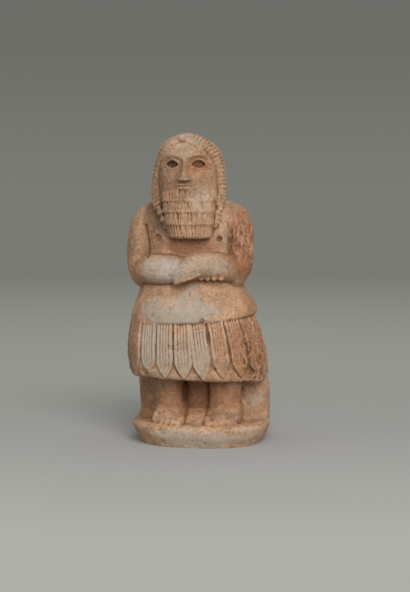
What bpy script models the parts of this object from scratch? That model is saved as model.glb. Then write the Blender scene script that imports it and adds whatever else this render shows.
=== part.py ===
"""Stone priest statuette: a bearded man in a tongued skirt, standing with folded arms before a support slab.

The figure, the slab and the plinth are one block of stone, so they are one solid. Each form of the carving
is a closed skin, the skins are joined, and the modifiers fuse and wear them as one stone.
The front of the figure looks along -Y, and +X is at its left hand. The origin is under the plinth.
"""

import math

import bmesh
import bpy
import numpy as np
from mathutils import Matrix, Vector

# Driving dimensions, in metres
FIGURE_HEIGHT = 0.196
PLINTH_HEIGHT = 0.0145
PLINTH_WIDTH = 0.0945
PLINTH_DEPTH = 0.084
UNDERSIDE_WIDTH = 0.083
UNDERSIDE_DEPTH = 0.073
GRAIN = 0.0008
STONE_FACES = 9000

# The figure's proportions are in modules, each 1 mm at the real size, with z counted from the plinth's top.
FIGURE_MODULES = 196
MODULE = FIGURE_HEIGHT / FIGURE_MODULES

STONE_COLOUR = (0.48, 0.34, 0.24, 1.0)
STONE_ROUGHNESS = 0.7

# Level sections: z, centre x, centre y, half width, half depth, squareness
SLAB = (
    (-6, 0.6, 11.0, 42.0, 18.0, 3.0),
    (1, 1.0, 12.5, 44.2, 20.0, 3.2),
    (5, 1.2, 13.0, 44.4, 20.0, 3.2),
    (16, 1.2, 12.5, 44.4, 19.5, 3.2),
    (26, 0.4, 12.0, 44.2, 19.0, 3.0),
    (34, -1.2, 10.0, 42.0, 18.0, 2.8),
)
SKIRT = (
    (29, -1.6, -1, 46.4, 37.0, 2.3),
    (30.5, -2.0, -1, 47.6, 38.2, 2.3),
    (36, -3.0, -1, 48.2, 38.8, 2.3),
    (46, -3.5, -1, 47.9, 38.4, 2.25),
    (56, -4.2, -1, 47.0, 37.2, 2.25),
    (63, -5.0, -1, 45.4, 35.6, 2.2),
    (68, -5.5, -1, 43.4, 34.0, 2.2),
    (74, -5.8, -1, 40.0, 32.0, 2.2),
)
WRAP = (
    (69, -5.5, -1, 42.2, 34.2, 2.2),
    (70, -5.5, -1, 43.4, 35.4, 2.2),
    (75, -5.6, -1, 42.6, 35.0, 2.2),
    (81, -6.1, -1, 40.2, 33.0, 2.2),
    (87, -6.8, -1, 37.0, 29.6, 2.2),
    (92, -7.1, -1, 35.2, 27.0, 2.2),
    (98, -7.2, 0, 34.5, 25.5, 2.2),
)
CHEST = (
    (86, -7.1, 0, 35.0, 25.0, 2.2),
    (94, -7.2, 0, 34.4, 24.6, 2.2),
    (104, -7.3, -1, 33.6, 24.0, 2.3),
    (118, -7.4, -1, 34.0, 24.0, 2.4),
    (126, -7.5, 0, 35.6, 23.8, 2.4),
    (132, -7.7, 1, 38.0, 23.2, 2.3),
    (138, -7.9, 2, 39.4, 22.6, 2.2),
    (143, -8.0, 3, 37.0, 21.0, 2.2),
    (148, -8.2, 3, 29.6, 18.5, 2.2),
    (154, -8.3, 3, 18.0, 16.0, 2.0),
)
BACK = (
    (88, -7.1, 8.0, 33.0, 16.0, 2.6),
    (96, -7.2, 8.5, 37.0, 16.0, 2.8),
    (108, -7.3, 9.0, 40.0, 15.5, 2.8),
    (128, -7.6, 9.0, 41.0, 15.5, 2.8),
    (138, -7.8, 8.0, 39.6, 15.5, 2.6),
    (145, -8.0, 7.0, 35.0, 14.5, 2.4),
    (150, -8.2, 6.0, 27.0, 13.5, 2.2),
)
HAIR = (
    (132, -8.4, 14.0, 20.0, 12.0, 2.6),
    (134, -8.4, 13.0, 21.6, 14.5, 2.6),
    (144, -8.5, 8.0, 22.8, 18.5, 2.4),
    (154, -8.6, 4.0, 23.8, 21.5, 2.2),
    (163, -8.8, 2.0, 24.8, 23.4, 2.1),
    (170, -8.9, 1.5, 25.0, 24.0, 2.1),
    (178, -9.1, 1.0, 24.0, 23.4, 2.05),
    (183.5, -9.3, 1.0, 22.0, 21.6, 2.0),
    (188, -9.6, 0.5, 18.4, 18.4, 2.0),
    (192, -9.9, 0.0, 13.6, 13.6, 2.0),
    (194.6, -10.1, 0.0, 8.2, 8.2, 2.0),
    (196, -10.2, 0.0, 2.0, 2.0, 2.0),
)
FACE = (
    (142, -7.2, -9, 18.0, 17.0, 2.3),
    (150, -7.5, -9, 20.0, 18.2, 2.3),
    (158, -7.8, -9, 21.0, 18.8, 2.25),
    (166, -8.0, -9, 21.4, 18.8, 2.2),
    (174, -8.2, -8, 21.0, 18.6, 2.2),
    (182, -8.5, -7, 19.0, 18.2, 2.1),
    (188, -8.8, -6, 14.5, 15.5, 2.0),
    (191, -9.0, -5, 8.0, 10.0, 2.0),
)
BEARD = (
    (125.4, -3.4, -22.0, 12.2, 11.6, 2.8),
    (127.4, -3.5, -22.0, 13.2, 13.8, 2.8),
    (134, -4.0, -22.0, 14.6, 13.8, 2.7),
    (142, -4.6, -21.0, 16.0, 13.0, 2.6),
    (150, -5.6, -18.0, 17.6, 12.6, 2.5),
    (156, -6.6, -15.0, 19.2, 13.6, 2.4),
    (162, -7.4, -12.5, 20.6, 14.6, 2.3),
    (168, -7.8, -11.0, 21.6, 14.6, 2.2),
    (174, -8.0, -9.0, 21.6, 14.0, 2.2),
)
LEG_RIGHT = (
    (-3, -18.4, -15.0, 9.6, 11.0, 2.4),
    (2.5, -18.4, -15.0, 9.6, 11.0, 2.4),
    (8, -18.7, -14.6, 9.0, 10.6, 2.3),
    (15, -19.2, -14.2, 8.4, 10.0, 2.2),
    (21, -19.4, -13.6, 8.4, 10.0, 2.2),
    (34, -19.2, -13.0, 9.6, 10.5, 2.2),
)
LEG_LEFT = (
    (-3, 18.0, -15.0, 11.4, 11.5, 2.4),
    (2.5, 18.0, -15.0, 11.4, 11.5, 2.4),
    (8, 18.0, -14.6, 11.2, 11.0, 2.4),
    (15, 18.2, -14.2, 10.8, 10.4, 2.4),
    (21, 18.2, -13.6, 10.6, 10.4, 2.4),
    (34, 18.0, -13.0, 11.4, 11.0, 2.4),
)

HEM_SLOPE = -0.026
WRAP_SLOPE = 0.034

# Drilled nipples: x, z, radius, depth
NIPPLES = ((-27.0, 125.6, 2.4, 1.8), (14.4, 124.8, 2.2, 2.8))

# Skirt tongues
TONGUE_COUNT = 21
TONGUE_TOP = 71.0
TONGUE_TIP = 30.0
TONGUE_SHOULDER = 41.5
TONGUE_RAISE = 1.7
TONGUE_RIBS = 2
RIB_DEPTH = 0.5

# Beard
BEARD_TIERS = (126.0, 134.2, 142.3, 150.6)
TIER_STEP = 1.3
BEARD_MIDDLE = -5.0
BEARD_TOP = 156.4
BEARD_TOP_CURVE = 0.045
LOCK_PITCH = 2.6
LOCK_DEPTH = 1.0

# Feet
TOE_FRONT = -37.0

# Hair
HAIR_STRANDS = 30
STRAND_DEPTH = 0.9

# Face, drawn up on the rule that the eyes stand halfway between the chin and the crown
CHIN = 153.0
EYE_LINE = (CHIN + FIGURE_MODULES) / 2
NOSE_BASE = (CHIN + EYE_LINE) / 2
MOUTH_LINE = NOSE_BASE - (NOSE_BASE - CHIN) / 3
FACE_MIDDLE = -8.0
EYE_SPREAD = 9.6
SOCKET_HALF_WIDTH = 5.2
SOCKET_HALF_HEIGHT = 3.7
SOCKET_DEPTH = 3.0
EYEBALL = 1.8


def soften(value, low, high):
    """0 below low and 1 above high, with an eased rise between them."""
    share = np.clip((value - low) / (high - low), 0, 1)
    return share * share * (3 - 2 * share)


def bump(distance_squared):
    """A round swelling of height 1 that fades at a distance of about 2."""
    return np.exp(-distance_squared)


def eased(stations, at):
    """The stations' values at the positions, on a curve that never swings past a station."""
    table = np.array(stations, float)
    position, values = table[:, 0], table[:, 1:]
    step = np.diff(position)[:, None]
    slope = np.diff(values, axis=0) / step
    same_way = slope[:-1] * slope[1:] > 0
    total = np.where(same_way, slope[:-1] + slope[1:], 1.0)
    middle = np.where(same_way, 2 * slope[:-1] * slope[1:] / total, 0)
    tangent = np.vstack([slope[:1], middle, slope[-1:]])
    at = np.clip(at, position[0], position[-1])
    index = np.clip(np.searchsorted(position, at) - 1, 0, len(position) - 2)
    width = step[index]
    share = (at - position[index])[:, None] / width
    low, high = values[index], values[index + 1]
    rise = share**3 - 2 * share**2 + share
    fall = share**3 - share**2
    blend = 3 * share**2 - 2 * share**3
    return low + (high - low) * blend + (rise * tangent[index] + fall * tangent[index + 1]) * width


def skin(rings):
    """A closed skin over rings of points, as (points, faces), with a flat cap at each end."""
    count, around = rings.shape[:2]
    faces = []
    for level in range(count - 1):
        for turn in range(around):
            after = (turn + 1) % around
            below, above = level * around, (level + 1) * around
            faces.append((below + turn, below + after, above + after, above + turn))
    faces.append(tuple(reversed(range(around))))
    faces.append(tuple((count - 1) * around + turn for turn in range(around)))
    return rings.reshape(-1, 3), faces


def turned(stations, step=1.0, around=96, relief=None):
    """A form through level sections, which are rounded rectangles. relief(angle, z, points) moves its points."""
    levels = np.arange(stations[0][0], stations[-1][0], step)
    levels = np.append(levels, stations[-1][0])
    middle_x, middle_y, half_width, half_depth, squareness = eased(stations, levels).T[:, :, None]
    angle = np.linspace(-math.pi / 2, 1.5 * math.pi, around, endpoint=False)[None, :]
    across, along = np.cos(angle), np.sin(angle)
    power = 2 / squareness
    x = middle_x + half_width * np.sign(across) * np.abs(across) ** power
    y = middle_y + half_depth * np.sign(along) * np.abs(along) ** power
    rings = np.stack([x, y, np.broadcast_to(levels[:, None], x.shape)], axis=2)
    if relief is not None:
        rings = relief(np.broadcast_to(angle, x.shape), levels[:, None], rings)
    return skin(rings)


def limb(stations, up=(0, 0, 1), step=0.8, around=20, ripple=None):
    """A limb with round ends. Stations: x, y, z, half size across and half size along up."""
    table = np.array(stations, float)
    run = np.concatenate([[0], np.cumsum(np.linalg.norm(np.diff(table[:, :3], axis=0), axis=1))])
    start, end = table[0, 3:].mean(), table[-1, 3:].mean()
    ball = np.sin(np.linspace(-math.pi / 2, 0, 6))[:-1]
    body = np.linspace(0, run[-1], max(4, int(run[-1] / step)))
    along = np.concatenate([start * ball, body, run[-1] - (end * ball)[::-1]])
    scale = np.ones(len(along))
    scale[: len(ball)] = np.sqrt(np.maximum(1 - ball**2, 0.0025))
    scale[-len(ball) :] = scale[: len(ball)][::-1]
    values = eased(np.column_stack([run, table]), along)
    centre, half = values[:, :3], values[:, 3:] * scale[:, None]
    if ripple is not None:
        half = half * (1 + ripple(along))[:, None]
    heading = np.gradient(eased(np.column_stack([run, table[:, :3]]), body), axis=0)
    heading /= np.linalg.norm(heading, axis=1)[:, None]
    heading = np.vstack([np.repeat(heading[:1], len(ball), 0), heading, np.repeat(heading[-1:], len(ball), 0)])
    centre = centre + heading * (along - np.clip(along, 0, run[-1]))[:, None]
    side = np.cross(heading, np.array(up, float))
    side /= np.linalg.norm(side, axis=1)[:, None]
    over = np.cross(side, heading)
    angle = np.linspace(0, 2 * math.pi, around, endpoint=False)
    rings = (
        centre[:, None]
        + side[:, None] * (half[:, 0:1] * np.cos(angle))[:, :, None]
        + over[:, None] * (half[:, 1:2] * np.sin(angle))[:, :, None]
    )
    return skin(rings)


def tongue_relief(angle, z, points):
    """Pointed tongues hang side by side round the skirt, and the bare hem shows between their tips."""
    stride = np.linalg.norm(np.roll(points, -1, axis=1) - points, axis=2)
    run = np.cumsum(stride, axis=1) - stride
    place = TONGUE_COUNT * run / stride.sum(axis=1)[:, None] + 0.5
    across = 2 * np.abs(place - np.floor(place) - 0.5)
    reach = np.clip((z - TONGUE_TIP) / (TONGUE_SHOULDER - TONGUE_TIP), 0, 1)
    edge = 0.94 * reach
    on_tongue = soften(edge - across, -0.08, 0.14) * soften(z, TONGUE_TIP - 1, TONGUE_TIP + 1)
    ribs = RIB_DEPTH * np.cos(math.pi * TONGUE_RIBS * across / np.maximum(edge, 0.1)) * on_tongue
    under_wrap = 1 - soften(z, TONGUE_TOP - 3, TONGUE_TOP + 1)
    raise_by = (TONGUE_RAISE * (on_tongue - 1) + ribs) * under_wrap
    outward = np.stack([np.cos(angle), np.sin(angle)], axis=2)
    points[:, :, :2] += outward * raise_by[:, :, None]
    points[:, :, 2] += HEM_SLOPE * points[:, :, 0]
    return points


def sloped(slope):
    """A relief that only tips a form sideways, so that its edge runs uphill towards +X."""

    def tip(angle, z, points):
        points[:, :, 2] += slope * points[:, :, 0]
        return points

    return tip


def beard_relief(angle, z, points):
    """Tiers of upright locks: each tier steps in at its top, under the hem of the one above it."""
    tiers = np.array(BEARD_TIERS)
    index = np.clip(np.searchsorted(tiers, z) - 1, 0, len(tiers) - 1)
    height = np.diff(np.append(tiers, 2 * tiers[-1] - tiers[-2]))[index]
    share = np.clip((z - tiers[index]) / height, 0, 1)
    front = soften(-np.sin(angle), 0.0, 0.5)
    across = points[:, :, 0] - BEARD_MIDDLE
    step = TIER_STEP * (0.5 - share)
    groove = 0.5 * LOCK_DEPTH * (np.cos(2 * math.pi * (across / LOCK_PITCH + 0.5 * index)) - 1)
    groove = groove * soften(share, 0.0, 0.12) * (1 - soften(share, 0.85, 1.0))
    edge = BEARD_TOP + BEARD_TOP_CURVE * (points[:, :, 0] - FACE_MIDDLE) ** 2
    above = soften(z - edge, -0.8, 0.8)
    points[:, :, 1] += front * (5.0 * above - (1 - above) * (step + groove))
    return points


def hair_relief(angle, z, points):
    """Waved strands fall from the crown down the sides and the back."""
    wave = 0.5 * np.sin(z * 2 * math.pi / 9)
    strands = np.cos(HAIR_STRANDS * angle + wave)
    fade = soften(z, 132, 136) * (1 - soften(z, 184, 192))
    inward = 0.5 * STRAND_DEPTH * (strands - 1) * fade
    points[:, :, 0] += inward * np.cos(angle)
    points[:, :, 1] += inward * np.sin(angle)
    return points


def chest_relief(angle, z, points):
    """A drilled nipple on each side of the beard, and the slope of the belt line."""
    front = soften(-np.sin(angle), 0.0, 0.3)
    for x, height, radius, depth in NIPPLES:
        away = np.hypot(points[:, :, 0] - x, z - height) / radius
        points[:, :, 1] += front * depth * (1 - soften(away, 0.5, 1.1))
    return points


def face_relief(angle, z, points):
    """The features stand off the egg of the head, and the eye sockets sink into it."""
    across = points[:, :, 0] - FACE_MIDDLE
    side = np.abs(across)
    front = soften(-np.sin(angle), 0.05, 0.35)
    up = z - EYE_LINE
    from_eye = ((side - EYE_SPREAD) / SOCKET_HALF_WIDTH) ** 2 + (up / SOCKET_HALF_HEIGHT) ** 2
    socket = SOCKET_DEPTH * (1 - soften(from_eye, 0.5, 1.1)) - EYEBALL * bump(from_eye / 0.3)
    rim = 0.8 * bump(((np.sqrt(from_eye) - 1.2) / 0.2) ** 2)
    brow_line = 6.2 - 0.035 * (side - 8.0) ** 2
    brow = 1.4 * bump(((up - brow_line) / 1.5) ** 2) * (1 - soften(side, 15, 19))
    fall = np.clip((EYE_LINE + 4 - z) / (EYE_LINE + 4 - NOSE_BASE), 0, 1)
    width = 2.0 + 2.2 * fall**1.5
    nose = (1.8 + 3.6 * fall) * bump((side / width) ** 2)
    nose = nose * soften(z, NOSE_BASE - 1.4, NOSE_BASE + 0.8) * (1 - soften(up, 3, 8))
    cheek = 1.2 * bump(((side - 10.5) / 6.0) ** 2 + ((z - NOSE_BASE - 1.0) / 5.0) ** 2)
    lips = 1.3 * bump((side / 5.0) ** 4) * (
        bump(((z - MOUTH_LINE - 1.1) / 0.9) ** 2) + bump(((z - MOUTH_LINE + 1.1) / 1.0) ** 2)
    )
    points[:, :, 1] -= front * (rim + brow + nose + cheek + lips - socket)
    return points


def plinth():
    """A rough round slab that narrows to its flat underside. Its size is its own, not the figure's."""
    share = PLINTH_HEIGHT / MODULE
    top, foot = PLINTH_WIDTH / 2 / MODULE, UNDERSIDE_WIDTH / 2 / MODULE
    top_deep, foot_deep = PLINTH_DEPTH / 2 / MODULE, UNDERSIDE_DEPTH / 2 / MODULE
    below = 4.0
    stations = (
        (-share - below, 0, 0, foot - 1, foot_deep - 1, 2.5),
        (-share, 0, 0, foot, foot_deep, 2.5),
        (-0.45 * share, 0, 0, (top + foot) / 2 + 1.4, (top_deep + foot_deep) / 2 + 1.4, 2.5),
        (-0.14 * share, 0, 0, top, top_deep, 2.5),
        (-0.02 * share, 0, 0, top - 0.8, top_deep - 0.8, 2.5),
        (0.06 * share, 0, 0, top - 3.4, top_deep - 3.4, 2.5),
    )
    return [turned(stations, step=0.8, around=120)]


def foot(middle, half_width, big_side, toe_size):
    """The instep, and five toes in a row. big_side is the side of the big toe."""
    instep = limb(
        (
            (middle, -8, 5.5, 0.86 * half_width, 7.5),
            (middle, -20, 5.6, 0.9 * half_width, 6.4),
            (middle, -29, 3.0, 0.96 * half_width, 4.6),
        ),
        around=32,
    )
    forms = [instep]
    pitch = 2 * half_width / 5.1
    for toe in range(5):
        x = middle + big_side * (2 - toe) * pitch
        size = 0.55 * pitch * (1.15 if toe == 0 else 1.0)
        front = TOE_FRONT + 0.35 * toe * toe
        forms.append(
            limb(
                (
                    (middle + 0.8 * (x - middle), -25, 4.6, size, 3.2 * toe_size),
                    (x, 0.4 * -25 + 0.6 * front, 3.6, size, 2.8 * toe_size),
                    (x, front, 2.0, size, 2.3 * toe_size),
                ),
                around=14,
            )
        )
    return forms


def support():
    """The slab behind the legs, with a stub of rib between them."""
    return [
        turned(SLAB, step=1.2),
        limb(((-1.0, -8, 27, 5.6, 5.0), (-1.0, -8, 14, 5.0, 4.4)), up=(0, 1, 0)),
    ]


def legs():
    return [
        turned(LEG_RIGHT, around=48),
        turned(LEG_LEFT, around=48),
        *foot(-18.6, 11.0, 1, 1.0),
        *foot(18.0, 12.2, -1, 0.85),
    ]


def dress():
    return [
        turned(SKIRT, step=0.7, around=TONGUE_COUNT * 16, relief=tongue_relief),
        turned(WRAP, relief=sloped(WRAP_SLOPE)),
    ]


def arms():
    """Both upper arms hang close to the chest, and the left forearm crosses over the right one."""
    upper_right = limb(
        (
            (-37.6, 1, 136, 10.2, 13.0),
            (-40.4, -2, 129, 9.8, 14.4),
            (-41.4, -4, 118, 9.6, 15.0),
            (-41.0, -6, 106, 9.2, 14.4),
            (-39.6, -8, 101, 8.6, 12.0),
        ),
        up=(0, 1, 0),
    )
    upper_left = limb(
        (
            (22.6, 1, 137, 10.4, 13.0),
            (25.8, -2, 129, 9.6, 14.4),
            (27.0, -4, 118, 9.2, 15.0),
            (26.2, -6, 106, 9.0, 14.4),
            (24.0, -8, 101, 8.6, 12.0),
        ),
        up=(0, 1, 0),
    )
    fore_right = limb(
        (
            (-40, -12, 103.5, 7.5, 9.2),
            (-30, -22, 104.5, 8.5, 9.8),
            (-18, -26.5, 104.6, 8.2, 9.4),
            (-6, -27.5, 103.2, 7.2, 8.6),
            (4, -26.5, 102.0, 6.6, 7.4),
        )
    )
    fore_left = limb(
        (
            (24, -12, 104.0, 8.0, 9.0),
            (17, -22.5, 106.4, 8.0, 9.0),
            (7, -28.5, 107.6, 7.4, 8.6),
            (-3, -30.5, 106.8, 6.4, 7.8),
        )
    )
    return [upper_right, upper_left, fore_right, fore_left]


def hands():
    """The left hand lies over the right wrist, and the right fingertips show under the left forearm."""
    forms = [
        limb(((0, -32.2, 106.6, 4.4, 7.6), (-6, -33.6, 104.4, 3.8, 7.0), (-10, -33.6, 102.4, 3.0, 5.8))),
        limb(((2, -27.5, 101.0, 5.0, 6.0), (12, -28, 100.0, 4.4, 5.0))),
    ]
    for finger in range(4):
        forms.append(
            limb(
                (
                    (-6, -34.8, 107.8 - 2.6 * finger, 2.4, 1.6),
                    (-11, -34.6, 104.8 - 2.5 * finger, 2.2, 1.5),
                    (-16 + 0.9 * finger, -33.0, 102.6 - 2.3 * finger, 1.9, 1.4),
                ),
                around=14,
            )
        )
        x = 3.8 + 4.4 * finger
        forms.append(limb(((x, -30.5, 101.5, 1.7, 2.2), (x, -31.0, 98.0, 1.7, 1.9)), up=(0, 1, 0), around=14))
    return forms


def torso():
    return [turned(CHEST, around=240, step=0.8, relief=chest_relief), turned(BACK)]


def head():
    """The egg of the head inside the mass of the hair, the beard, and the locks that frame them."""
    band_right_side = limb(
        (
            (-10.5, -17.0, 191.0, 2.8, 2.8),
            (-19.0, -17.5, 187.0, 2.8, 2.8),
            (-26.0, -16.0, 179.0, 2.8, 2.8),
            (-29.5, -15.0, 168.0, 2.8, 2.8),
            (-30.0, -16.0, 156.0, 3.0, 3.0),
            (-26.6, -21.0, 146.0, 3.2, 3.0),
            (-22.6, -24.0, 137.0, 2.8, 2.8),
            (-19.0, -25.0, 128.5, 2.0, 2.4),
        ),
        up=(0, 1, 0),
        ripple=lambda along: 0.10 * np.sin(along * 2 * math.pi / 3.4),
    )
    band_left_side = limb(
        (
            (-9.0, -17.0, 190.5, 3.2, 3.2),
            (-1.0, -16.5, 187.5, 4.0, 3.8),
            (7.6, -14.0, 180.0, 4.4, 4.2),
            (12.2, -12.5, 169.0, 4.6, 4.4),
            (13.2, -13.0, 157.0, 4.6, 4.4),
            (13.4, -19.0, 147.0, 3.8, 3.6),
            (13.6, -23.0, 138.0, 3.0, 2.8),
            (11.6, -24.6, 129.5, 2.2, 2.4),
        ),
        up=(0, 1, 0),
        ripple=lambda along: 0.12 * np.sin(along * 2 * math.pi / 3.0),
    )
    return [
        turned(HAIR, step=0.8, around=HAIR_STRANDS * 8, relief=hair_relief),
        turned(FACE, step=0.7, around=160, relief=face_relief),
        turned(BEARD, step=0.6, around=180, relief=beard_relief),
        band_right_side,
        band_left_side,
    ]


def joined(name, forms):
    """One object over all the skins, at the real size, with the figure standing on the plinth."""
    points, faces, first = [], [], 0
    for form_points, form_faces in forms:
        points.append(form_points)
        faces.extend(tuple(first + index for index in face) for face in form_faces)
        first += len(form_points)
    placed = np.vstack(points) * MODULE + np.array((0, 0, PLINTH_HEIGHT))
    mesh = bpy.data.meshes.new(name)
    mesh.from_pydata(placed.tolist(), [], faces)
    carved = bmesh.new()
    carved.from_mesh(mesh)
    bmesh.ops.recalc_face_normals(carved, faces=carved.faces)
    carved.to_mesh(mesh)
    carved.free()
    statue = bpy.data.objects.new(name, mesh)
    bpy.context.scene.collection.objects.link(statue)
    return statue


def block_cutter(name, low, high):
    """A box between two corners, which cuts and isn't part of the object."""
    mesh = bpy.data.meshes.new(name)
    box = bmesh.new()
    size = Vector(high) - Vector(low)
    place = Matrix.Translation((Vector(low) + Vector(high)) / 2) @ Matrix.Diagonal((*size, 1))
    bmesh.ops.create_cube(box, size=1, matrix=place)
    box.to_mesh(mesh)
    box.free()
    cutter = bpy.data.objects.new(name, mesh)
    cutter.hide_render = True
    cutter.display_type = "WIRE"
    bpy.context.scene.collection.objects.link(cutter)
    return cutter


def stone():
    """Warm gypsum alabaster, dull from burial."""
    material = bpy.data.materials.new("alabaster")
    material.use_nodes = True
    shader = material.node_tree.nodes["Principled BSDF"]
    shader.inputs["Base Color"].default_value = STONE_COLOUR
    shader.inputs["Roughness"].default_value = STONE_ROUGHNESS
    material.diffuse_color = STONE_COLOUR
    return material


def fuse(statue):
    """Makes one worn skin of the joined forms, keeps the faces few, and cuts the underside flat."""
    one_skin = statue.modifiers.new("one skin", "REMESH")
    one_skin.mode = "VOXEL"
    one_skin.voxel_size = GRAIN
    wear = statue.modifiers.new("wear", "SMOOTH")
    wear.factor = 0.5
    wear.iterations = 2
    fewer = statue.modifiers.new("fewer faces", "DECIMATE")
    bpy.context.view_layer.update()
    graph = bpy.context.evaluated_depsgraph_get()
    fewer.show_viewport = False
    graph.update()
    dense = statue.evaluated_get(graph).to_mesh()
    triangles = sum(len(face.vertices) - 2 for face in dense.polygons)
    statue.evaluated_get(graph).to_mesh_clear()
    fewer.show_viewport = True
    fewer.ratio = STONE_FACES / triangles
    level = statue.modifiers.new("flat underside", "BOOLEAN")
    level.operation = "DIFFERENCE"
    level.object = block_cutter(
        "ground_cutter",
        (-PLINTH_WIDTH, -PLINTH_DEPTH, -PLINTH_HEIGHT),
        (PLINTH_WIDTH, PLINTH_DEPTH, 0),
    )


def main():
    for left_over in list(bpy.data.objects):
        bpy.data.objects.remove(left_over, do_unlink=True)
    forms = plinth() + support() + legs() + dress() + torso() + arms() + hands() + head()
    statue = joined("statuette", forms)
    statue.data.materials.append(stone())
    fuse(statue)


main()
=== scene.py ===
"""Stone priest statuette, carved fine, weathered and set on a pale floor.

The carving is built up as a sculptor blocks it out: plain closed forms for the body, and rows of copies for
what repeats, such as the skirt's tongues and the locks of hair. All of it is then fused into one stone,
worn, chipped and stained. Lengths in the tables are in modules, which are 1 mm at the real size, with z
counted from the plinth's top. The figure looks along -Y, and +X is at its left hand.
"""

import math

import bpy
import numpy as np
from bpy.props import FloatProperty, FloatVectorProperty, IntProperty, PointerProperty
from bpy.types import Operator, Panel, PropertyGroup
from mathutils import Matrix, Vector
from mathutils.kdtree import KDTree


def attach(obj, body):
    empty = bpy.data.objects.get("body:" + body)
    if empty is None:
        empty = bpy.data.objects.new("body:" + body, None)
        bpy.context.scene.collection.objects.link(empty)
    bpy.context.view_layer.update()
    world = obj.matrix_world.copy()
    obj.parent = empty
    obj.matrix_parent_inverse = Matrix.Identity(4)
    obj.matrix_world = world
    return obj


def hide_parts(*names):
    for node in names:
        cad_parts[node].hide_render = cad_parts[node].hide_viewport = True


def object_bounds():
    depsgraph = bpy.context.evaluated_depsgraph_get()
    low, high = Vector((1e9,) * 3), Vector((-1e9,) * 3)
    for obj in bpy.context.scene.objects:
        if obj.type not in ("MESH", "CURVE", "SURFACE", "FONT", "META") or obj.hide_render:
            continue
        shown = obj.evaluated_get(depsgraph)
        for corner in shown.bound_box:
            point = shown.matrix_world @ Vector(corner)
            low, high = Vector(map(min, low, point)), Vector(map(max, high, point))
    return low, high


bl_info = {
    "name": "Stone priest statuette",
    "version": (1, 0, 0),
    "blender": (4, 5, 0),
    "location": "3D View > Sidebar > Statuette",
    "description": "Carves, weathers and lights a small stone figure of a bearded priest",
    "category": "Object",
}

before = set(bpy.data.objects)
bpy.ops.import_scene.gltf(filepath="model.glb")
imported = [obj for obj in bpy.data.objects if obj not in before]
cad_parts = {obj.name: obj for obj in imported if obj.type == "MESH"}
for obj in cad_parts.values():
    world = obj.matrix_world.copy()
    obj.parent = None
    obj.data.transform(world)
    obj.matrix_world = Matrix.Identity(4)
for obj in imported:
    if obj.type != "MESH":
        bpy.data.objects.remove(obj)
SOLID_LOW, SOLID_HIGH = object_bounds()
NODE = "statuette"
BODY = "root"
PIECE = "carved_statuette"
STONE = "weathered_alabaster"

# The plinth's height is fixed, and the figure takes the rest of the solid's height
PLINTH_HEIGHT = 0.0145
FIGURE_MODULES = 196
MODULE = (SOLID_HIGH.z - PLINTH_HEIGHT) / FIGURE_MODULES
PLINTH_RISE = PLINTH_HEIGHT / MODULE

# Level sections: z, centre x, centre y, half width, half depth, squareness
PLINTH = (
    (-PLINTH_RISE - 0.8, 0, 0, 41.2, 36.2, 2.5),
    (-PLINTH_RISE + 0.6, 0, 0, 41.6, 36.6, 2.5),
    (-0.45 * PLINTH_RISE, 0, 0, 45.8, 40.8, 2.5),
    (-0.14 * PLINTH_RISE, 0, 0, 47.2, 42.0, 2.5),
    (-0.02 * PLINTH_RISE, 0, 0, 46.4, 41.2, 2.5),
    (0.06 * PLINTH_RISE, 0, 0, 43.8, 38.6, 2.5),
)
SLAB = (
    (-6, 0.2, 10.5, 42.4, 18.0, 3.0),
    (0.6, 0.4, 10.8, 45.2, 22.4, 3.2),
    (2.4, 0.4, 11.6, 45.4, 21.6, 3.2),
    (5, 0.5, 13.0, 45.0, 20.0, 3.2),
    (16, 0.2, 12.5, 45.4, 19.5, 3.2),
    (26, -0.6, 12.0, 45.2, 19.0, 3.0),
    (34, -2.2, 10.0, 43.0, 18.0, 2.8),
)
SKIRT = (
    (29, -1.6, -1, 46.4, 37.0, 2.3),
    (30.5, -2.0, -1, 47.6, 38.2, 2.3),
    (36, -3.0, -1, 48.2, 38.8, 2.3),
    (46, -3.5, -1, 47.9, 38.4, 2.25),
    (56, -4.2, -1, 47.0, 37.2, 2.25),
    (63, -5.0, -1, 45.4, 35.6, 2.2),
    (68, -5.5, -1, 43.4, 34.0, 2.2),
    (74, -5.8, -1, 40.0, 32.0, 2.2),
    (80, -6.0, -1, 36.6, 29.6, 2.2),
)
WRAP = (
    (69, -5.5, -1, 42.2, 34.2, 2.2),
    (70, -5.5, -1, 43.4, 35.4, 2.2),
    (75, -5.6, -1, 42.6, 35.0, 2.2),
    (81, -6.1, -1, 40.2, 33.0, 2.2),
    (87, -6.8, -1, 37.0, 29.6, 2.2),
    (92, -7.1, -1, 35.2, 27.0, 2.2),
    (98, -7.2, 0, 34.5, 25.5, 2.2),
)
CHEST = (
    (86, -7.1, 0, 35.0, 25.0, 2.2),
    (94, -7.2, 0, 34.4, 24.6, 2.2),
    (104, -7.3, -1, 33.6, 24.0, 2.3),
    (118, -7.4, -1, 34.0, 24.0, 2.4),
    (126, -7.5, 0, 35.6, 23.8, 2.4),
    (132, -7.7, 1, 38.0, 23.2, 2.3),
    (138, -7.9, 2, 39.4, 22.6, 2.2),
    (143, -8.0, 3, 37.0, 21.0, 2.2),
    (148, -8.2, 3, 29.6, 18.5, 2.2),
    (154, -8.3, 3, 18.0, 16.0, 2.0),
)
BACK = (
    (88, -7.1, 8.0, 33.0, 16.0, 2.6),
    (96, -7.2, 8.5, 37.0, 16.0, 2.8),
    (108, -7.3, 9.0, 40.0, 15.5, 2.8),
    (128, -7.6, 9.0, 41.0, 15.5, 2.8),
    (138, -7.8, 8.0, 39.6, 15.5, 2.6),
    (145, -8.0, 7.0, 35.0, 14.5, 2.4),
    (150, -8.2, 6.0, 27.0, 13.5, 2.2),
)
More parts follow.
